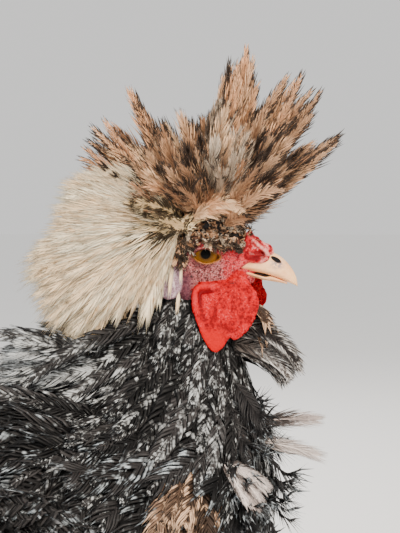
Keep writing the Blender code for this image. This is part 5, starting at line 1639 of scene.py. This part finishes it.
# %% Wings
for name, side in SIDES:
    points, faces = wing_shape(side, -6.0)
    new_piece("wing_flesh_" + name, points, faces, under_look, ("wing_" + name,))
    tree = tree_of(*wing_shape(side))
    wing = Coat(40, rounded, 301 + side, (38, 18), 0.05, 0.05, 0.42, 1.5)
    coverts = Coat(14, rounded, 311 + side, (44, 22), 0.12, 0.1, 0.3, 1.45)
    for tier, (count, first, last, droops, lengths, half_width, lift) in enumerate(WING_TIERS):
        coat = wing if tier < 2 else coverts
        draw = coat.draw
        for i in range(count):
            t = i / (count - 1)
            x, z = mix(np.array(first), np.array(last), t)
            droop = math.radians(mix(*droops, t) + draw.uniform(-1, 1))
            length = mix(*lengths, t) * draw.uniform(0.96, 1.04)
            lay(
                coat, tree, on_body(x, 120 * side, z), (-math.cos(droop), 0, -math.sin(droop)), length,
                half_width, (-1.5, lift + 0.4, lift + 0.9),
                (0.05 + 0.9 * t, 0.05 + 0.15 * tier + 0.01 * side), draw.uniform(0.36, 0.58), lean=0.22)
    draw = coverts.draw
    for i in range(330):
        x, share = draw.uniform(-70, 86), draw.uniform(-1.02, 1.05)
        if share < 0.62 - max(x + 10, 0) / 52:
            continue
        z = 250 + 0.105 * (x + 20) + share * 43 * math.sqrt(1 - ((x + 20) / 112) ** 2)
        rise = 2.6 + 0.03 * max(x, 0)
        lay(
            coverts, tree, on_body(x, (120 - 50 * abs(share) ** 3) * side, z),
            (-1, 0, -0.12 - 0.3 * (x > 60)), draw.uniform(22, 30), draw.uniform(5.5, 7.5),
            (-1.5, rise, rise + 0.8), (0.5 + 0.45 * share / 1.05, 0.5 + 0.003 * x + 0.01 * side),
            draw.uniform(0.38, 0.58), lean=0.15)
    shoulder_tree = tree_of(*merged([outer_body, wing_shape(side, 3.0)]))
    for i in range(34):
        start = on_body(draw.uniform(-74, 62), draw.uniform(42, 62) * side, 340)
        lay(
            coverts, shoulder_tree, start, (-1, 0.45 * side, -0.2), draw.uniform(44, 54),
            draw.uniform(7, 9), (-1.0, 4.0, 6.0), (0.05 + 0.025 * i, 0.9 + 0.03 * side),
            draw.uniform(0.24, 0.42))
    make(wing, "wing_quills_" + name, "body")
    make(coverts, "wing_coverts_" + name, "body")

# %% [markdown]
# The tail has two tent-like halves of straight feathers. Long sickles arch out over them, and
# shorter coverts hide the roots.

# %% Tail
TAIL_PAIRS, TAIL_ANGLES, TAIL_LENGTHS = 7, (32, 78), (108, 126)
# Root, the place that the bend goes towards, tip, half width and how much the arch is raised.
SICKLES = (
    ((-137, 7, 274), (-186, 11, 398), (-331, 16, 337), 8.2, 14),
    ((-136, 10, 270), (-178, 18, 370), (-303, 25, 307), 7.8, 14),
    ((-135, 13, 266), (-170, 24, 340), (-269, 32, 279), 7.2, 14),
    ((-134, 15, 262), (-166, 28, 312), (-235, 38, 253), 6.6, 14),
    ((-134, 12, 268), (-174, 22, 352), (-284, 29, 300), 6.8, 8),
    ((-133, 15, 264), (-160, 28, 322), (-250, 34, 270), 6.4, 8),
)


def on_side(side, *places):
    """Places of the body's rows, mirrored for the right side."""
    return (on_body(x, y * side, z) for x, y, z in places)


tail = Coat(44, rounded, 321, (36, 16), 0.05, 0.06, 0.5, 1.5)
sickles = Coat(60, pointed, 322, (34, 12), 0.12, 0.12, 0.45, 1.5)
tail_coverts = Coat(22, pointed, 323, (40, 16), 0.2, 0.12, 0.3, 1.4)
for side in (-1, 1):
    for i in range(TAIL_PAIRS):
        t = i / (TAIL_PAIRS - 1)
        angle, length = math.radians(mix(*TAIL_ANGLES, t)), mix(*TAIL_LENGTHS, t)
        root = np.array((-138, 8.4 - 6.6 * t, 262 + 9 * t))
        way = np.array((-math.cos(angle), 0.11 - 0.09 * t, math.sin(angle)))
        tip = root + way * length + (-6 * t, 4 - 3 * t, -3)
        tail.add(
            *on_side(side, root, (root + tip) / 2 + (1.5 * t, -0.8, 1.0), tip), (0, side, 0.06), 12.0,
            (0.3 + 0.05 * i, 0.2 + 0.05 * side), tail.draw.uniform(0.30, 0.55))
    for i, (root, bend, tip, half_width, raised) in enumerate(SICKLES):
        middle = (np.array(root) + tip) * 0.25 + np.array(bend) * 0.5 + (0, 0, raised)
        sickles.add(
            *on_side(side, root, middle, tip), (0.1 * side, side, 0.25), half_width,
            (0.3 + 0.05 * i, 0.6 + 0.05 * side), sickles.draw.uniform(0.35, 0.6))
    for i in range(44):
        draw, t = tail_coverts.draw, (i + 0.5) / 44
        angle = math.radians(-50 + 118 * t + draw.uniform(-6, 6))
        length, spread = draw.uniform(34, 62), draw.uniform(0.12, 0.5)
        root = np.array((-128 - draw.uniform(0, 12), 10 + draw.uniform(-3, 5) - 5 * t, 250 + 26 * t))
        tip = root + np.array((-math.cos(angle), spread, math.sin(angle))) * length - (0, 0, 8)
        tail_coverts.add(
            *on_side(side, root, (root + tip) / 2 + (0, 2, 3), tip), (0.15, side, 0.4),
            draw.uniform(5.5, 7.5), (0.1 + 0.8 * t, 0.8 + 0.05 * side), draw.uniform(0.26, 0.5))
make(tail, "tail_feathers", "body", ("tail",))
make(sickles, "sickle_feathers", "body")
make(tail_coverts, "tail_coverts", "hackle")

# %% [markdown]
# The thighs wear short soft feathers down to the hock, laid over the same skin.

# %% Thigh feathers
thighs = Coat(7, rounded, 331, (48, 26), 0.3, 0.2, 0.2, 1.5)
draw = thighs.draw
for side in (-1, 1):
    for row in range(15):
        station = 0.6 + row * 0.36
        half = along_rows(THIGH_ROWS, station)[3:5].mean()
        around = max(int(2 * math.pi * half / 9.8), 8)
        scale = 0.6 + 0.4 * half / 30
        for i in range(around):
            angle = 2 * math.pi * (i + 0.5 * (row % 2) + draw.uniform(-0.2, 0.2)) / around
            lay(
                thighs, body_tree, thigh_surface(np.array(station), angle, side), (-0.35, 0, -1),
                28 * scale * draw.uniform(0.85, 1.1), 6.2 * scale, (-0.8, 3.4, 5.4),
                (0.004 + 0.99 * (angle % 6.2831) / 6.2832, 0.3 + 0.04 * row), draw.uniform(0.26, 0.46))
make(thighs, "thigh_feathers", "body")

# %% [markdown]
# Legs and toes are covered by scutes, overlapping horny plates. Each is a ring of the loft that
# steps out at its lower edge, with wide plates in front and small round scales behind. A number at
# each point says how deep in a seam it lies, for the colours.

# %% Scutes
def scaled_tube(centres, across, upward, widths, heights, scutes, step, sides=32, floor=None):
    """A tube in millimetres that steps out once a scute; gives points, faces and seams."""
    t = np.linspace(0, 1, len(centres))[:, None]
    turn = np.linspace(0, 2 * np.pi, sides, endpoint=False)[None]
    front = smoothstep(np.sin(turn), -0.15, 0.35)
    phase = (t * scutes + 0.10 * np.cos(turn) ** 2) % 1.0
    back_phase = (t * scutes * 1.6 + 0.5 * (np.round(turn / (2 * np.pi) * 10) % 2)) % 1.0
    plate = (np.minimum(phase / 0.86, (1 - phase) / 0.14) ** 0.7) * front
    pebble = np.sin(back_phase * np.pi) * np.abs(np.sin(turn * 5)) * (1 - front)
    rise = (plate + 0.8 * pebble) * step
    u = np.cos(turn) * (widths[:, None] + rise)
    v = np.sin(turn) * (heights[:, None] + rise)
    rings = centres[:, None] + across * u[..., None] + upward * v[..., None]
    if floor is not None:
        rings[..., 2] = np.maximum(rings[..., 2], floor)
    points, faces = lofted(rings)
    seam = np.concatenate(((1 - plate - pebble).ravel(), (1, 1)))
    return np.array((BODY_SHIFT, 0, 0)) + points * MM, faces, seam


scale = Look("slate_scales", 0.45, Specular_IOR_Level=0.5, Coat_Weight=0.1, Coat_Roughness=0.3)
worn, seam = scale.noise(scale.place(), 120.0, 4.0), scale.attribute("seam")
pores = scale.node("ShaderNodeTexVoronoi", None, {"Vector": scale.place(), "Scale": 900.0})
scale_colour = scale.layered(
    (0.085, 0.098, 0.115), (scale.step(worn, 0.3, 0.7), (0.17, 0.185, 0.205)),
    (scale.step(seam, 0.35, 0.95) * 0.65, (0.03, 0.033, 0.038)))
scale_look = scale.finish(
    scale_colour, 0.38 + worn * 0.2, pores * 0.4 + scale.noise(scale.place(), 700.0, 2.0), 0.0002)
claw = Look("horn_claws", 0.35, Specular_IOR_Level=0.5, Coat_Weight=0.2, Coat_Roughness=0.2)
streak = claw.noise(claw.stretched(0.4, 1.6, 1.6), 700.0, 3.0)
claw_look = claw.finish(
    claw.blend(claw.step(streak, 0.3, 0.75), (0.50, 0.38, 0.28), (0.70, 0.60, 0.48)),
    0.3 + streak * 0.2, streak, 0.0001)
print("scales take", len(scale.tree.nodes), "nodes and claws", len(claw.tree.nodes))

# %% [markdown]
# Each toe is one scaled tube that lies on the floor, swells a little at its pads and ends in a
# curved claw. A round hub joins the toes to the shank.

# %% Toes
FOOT, HOCK = (-3, 51, 12), (-36.5, 50, 105)
# Name, heading in degrees, length, half thickness, scutes and pads.
TOES = (
    ("inner", -33, 44, 5.0, 9, 2), ("middle", 3, 64, 5.4, 13, 3), ("outer", 36, 50, 4.8, 11, 3),
    ("hind", 196, 27, 4.4, 5, 1))
TOE_ROOT, TOE_RISE, CLAW = 2, 2.4, 13
UP = np.array((0, 0, 1.0))


def toe_and_claw(side, heading, length, thick, scutes, pads):
    turn = math.radians(heading) * side
    ahead = np.array((math.cos(turn), math.sin(turn), 0))
    sideways = np.cross(UP, ahead)
    start = np.array((FOOT[0], FOOT[1] * side, 0))

    def tube(away, height, width, radius, scutes, step, sides):
        centres = start + ahead * away[:, None] + UP * height[:, None]
        return scaled_tube(centres, sideways, UP, radius * width, radius, scutes, step, sides, 0.0)

    t = np.linspace(0, 1, 22 * pads + 32)
    tapered = thick * (1.1 - 0.34 * t) * (1 + 0.08 * np.cos(2 * np.pi * t * pads))
    blunt = np.where(t > 0.94, np.sqrt(np.clip(1 - ((t - 0.94) / 0.075) ** 2, 0.05, 1)), 1)
    radius = tapered * blunt
    height = radius * 0.90 + TOE_RISE * (1 - t) ** 2
    toe = tube(TOE_ROOT + (length - TOE_ROOT) * t, height, 0.92, radius, scutes, 0.32, 24)
    t = np.linspace(0, 1, 30)
    size = thick * 0.62
    height = size + 0.6 + size * 0.55 * np.sin(np.pi * t) - (size - 0.5) * t ** 1.6
    radius = size * (1 - t) ** 0.6 * 0.95 + 0.2
    return toe, tube(length - 2.5 + (CLAW + 2.3) * t, height, 0.75, radius, 1, 0.0, 20)


print("toes:", ", ".join(toe[0] for toe in TOES))

# %% [markdown]
# The shank narrows in the middle and carries a short spur on its inner side.

# %% Legs and feet
def join(parts):
    """Several (points, faces, numbers) made into one."""
    points, faces = merged([part[:2] for part in parts])
    return points, faces, np.concatenate([part[2] for part in parts])


for name, side in SIDES:
    hock, foot = np.array(HOCK) * (1, side, 1), np.array(FOOT) * (1, side, 1)
    t = np.linspace(-0.02, 1.0, 120)
    forward = np.cross(unit(foot - hock), ACROSS)
    waist = 6.0 + 2.6 * (2 * np.abs(t - 0.5)) ** 2.2
    leg = [scaled_tube(
        hock + (foot - hock) * t[:, None], ACROSS, forward, waist * 0.86, waist, 15, 0.42, 34)]
    points, faces = ball((0, 0, 0), (9.6, 9.2, 8.8), 1, 24, 36)
    points = points - EYE + on_body(FOOT[0], FOOT[1] * side, 8.0)
    points[:, 2] = np.maximum(points[:, 2], 0)
    leg.append((points, faces, 0.3 + 0.5 * np.abs(value_noise(points / MM, 1.5, 9))))
    claws = []
    for _, *toe in TOES:
        for kept, made in zip((leg, claws), toe_and_claw(side, *toe)):
            kept.append(made)
    t = np.linspace(0, 1, 24)
    heading = unit(np.array((-0.86, -0.48 * side, 0.05)))
    sideways = unit(np.cross(heading, UP))
    spur = hock + (foot - hock) * 0.68 + heading * (1 + 13 * t)[:, None] + 2.0 * UP * (t ** 2)[:, None]
    radius = 3.2 * (1 - t) ** 0.7 + 0.3
    claws.append(scaled_tube(spur, sideways, np.cross(sideways, heading), radius, radius, 1, 0.0, 20))
    toes, nails = ([f"{part}_{toe[0]}_{name}" for toe in TOES] for part in ("toe", "claw"))
    points, faces, seam = join(leg)
    new_piece(
        "leg_scales_" + name, points, faces, scale_look,
        ("shank_" + name, "foot_" + name, *toes), {"seam": seam})
    points, faces, seam = join(claws)
    new_piece("claws_" + name, points, faces, claw_look, ("spur_" + name, *nails))

# %% [markdown]
# The camera stands on the bird's right, half a metre from the eye, and looks slightly down. Its
# place follows from where the near eye has to lie in the frame.

# %% Camera
FRAME_SIZE = (400, 533)  # the photo's width and height in pixels
EYE_PIXEL = (205.0, 254.4)
CAMERA_DISTANCE, LENS, SENSOR = 0.492, 70.9, 36.0
PITCH, YAW = math.radians(2.5), math.radians(3.5)  # looks a little down and a little to the rear

camera_data = bpy.data.cameras.new("studio_camera")
camera_data.lens, camera_data.sensor_width, camera_data.sensor_fit = LENS, SENSOR, "AUTO"
camera_data.clip_start, camera_data.clip_end = 0.02, 60
camera = bpy.data.objects.new("studio_camera", camera_data)
bpy.context.scene.collection.objects.link(camera)
bpy.context.scene.camera = camera
focal = LENS / SENSOR * FRAME_SIZE[1]
turn = Matrix.Rotation(YAW, 3, "Z") @ Matrix.Rotation(math.radians(90) - PITCH, 3, "X")
right = (EYE_PIXEL[0] - FRAME_SIZE[0] / 2) / focal
above = (FRAME_SIZE[1] / 2 - EYE_PIXEL[1]) / focal
near_eye = Vector(by_eye(0, -(EYE_OUT + EYEBALL), 0))
place = near_eye - turn @ (Vector((right, above, -1)) * CAMERA_DISTANCE)
camera.matrix_world = Matrix.Translation(place) @ turn.to_4x4()
print("camera at", [round(v, 3) for v in camera.location])

# %% [markdown]
# A seamless pale floor and three large soft lights keep the shadows gentle: a warm key light from
# the front right, a fill from behind on the same side, and a rim light from the left.

# %% Floor and light
bpy.ops.mesh.primitive_plane_add(size=60, location=(0, 0, 0))
floor = bpy.context.object
floor.name = "studio_floor"
ground = Look("pale_floor", 0.9, Specular_IOR_Level=0.0)
grain = ground.noise(ground.place(), 3.0, 3.0)
floor.data.materials.append(ground.finish(
    ground.blend(grain, (0.95, 0.945, 0.935), (0.97, 0.965, 0.955)), 0.85 + grain * 0.1))

world = bpy.data.worlds.new("studio_air")
bpy.context.scene.world = world
world.use_nodes = True
air = world.node_tree.nodes["Background"].inputs
air["Color"].default_value, air["Strength"].default_value = (1.0, 0.99, 0.975, 1), 0.92


def soft_light(name, place, size, power, colour, aim=(0.05, 0, 0.28)):
    data = bpy.data.lights.new(name, "AREA")
    data.shape, data.size, data.energy, data.color = "DISK", size, power, colour
    light = bpy.data.objects.new(name, data)
    bpy.context.scene.collection.objects.link(light)
    light.location = place
    light.rotation_euler = (Vector(aim) - Vector(place)).to_track_quat("-Z", "Y").to_euler()


soft_light("key", (0.9, -1.3, 1.5), 0.9, 68, (1.0, 0.88, 0.74))
soft_light("fill", (-1.5, -1.1, 1.0), 1.2, 26, (1.0, 0.96, 0.90))
soft_light("rim", (-0.4, 1.5, 1.4), 1.0, 20, (1.0, 0.98, 0.95))
print("lights:", len(bpy.data.lights))
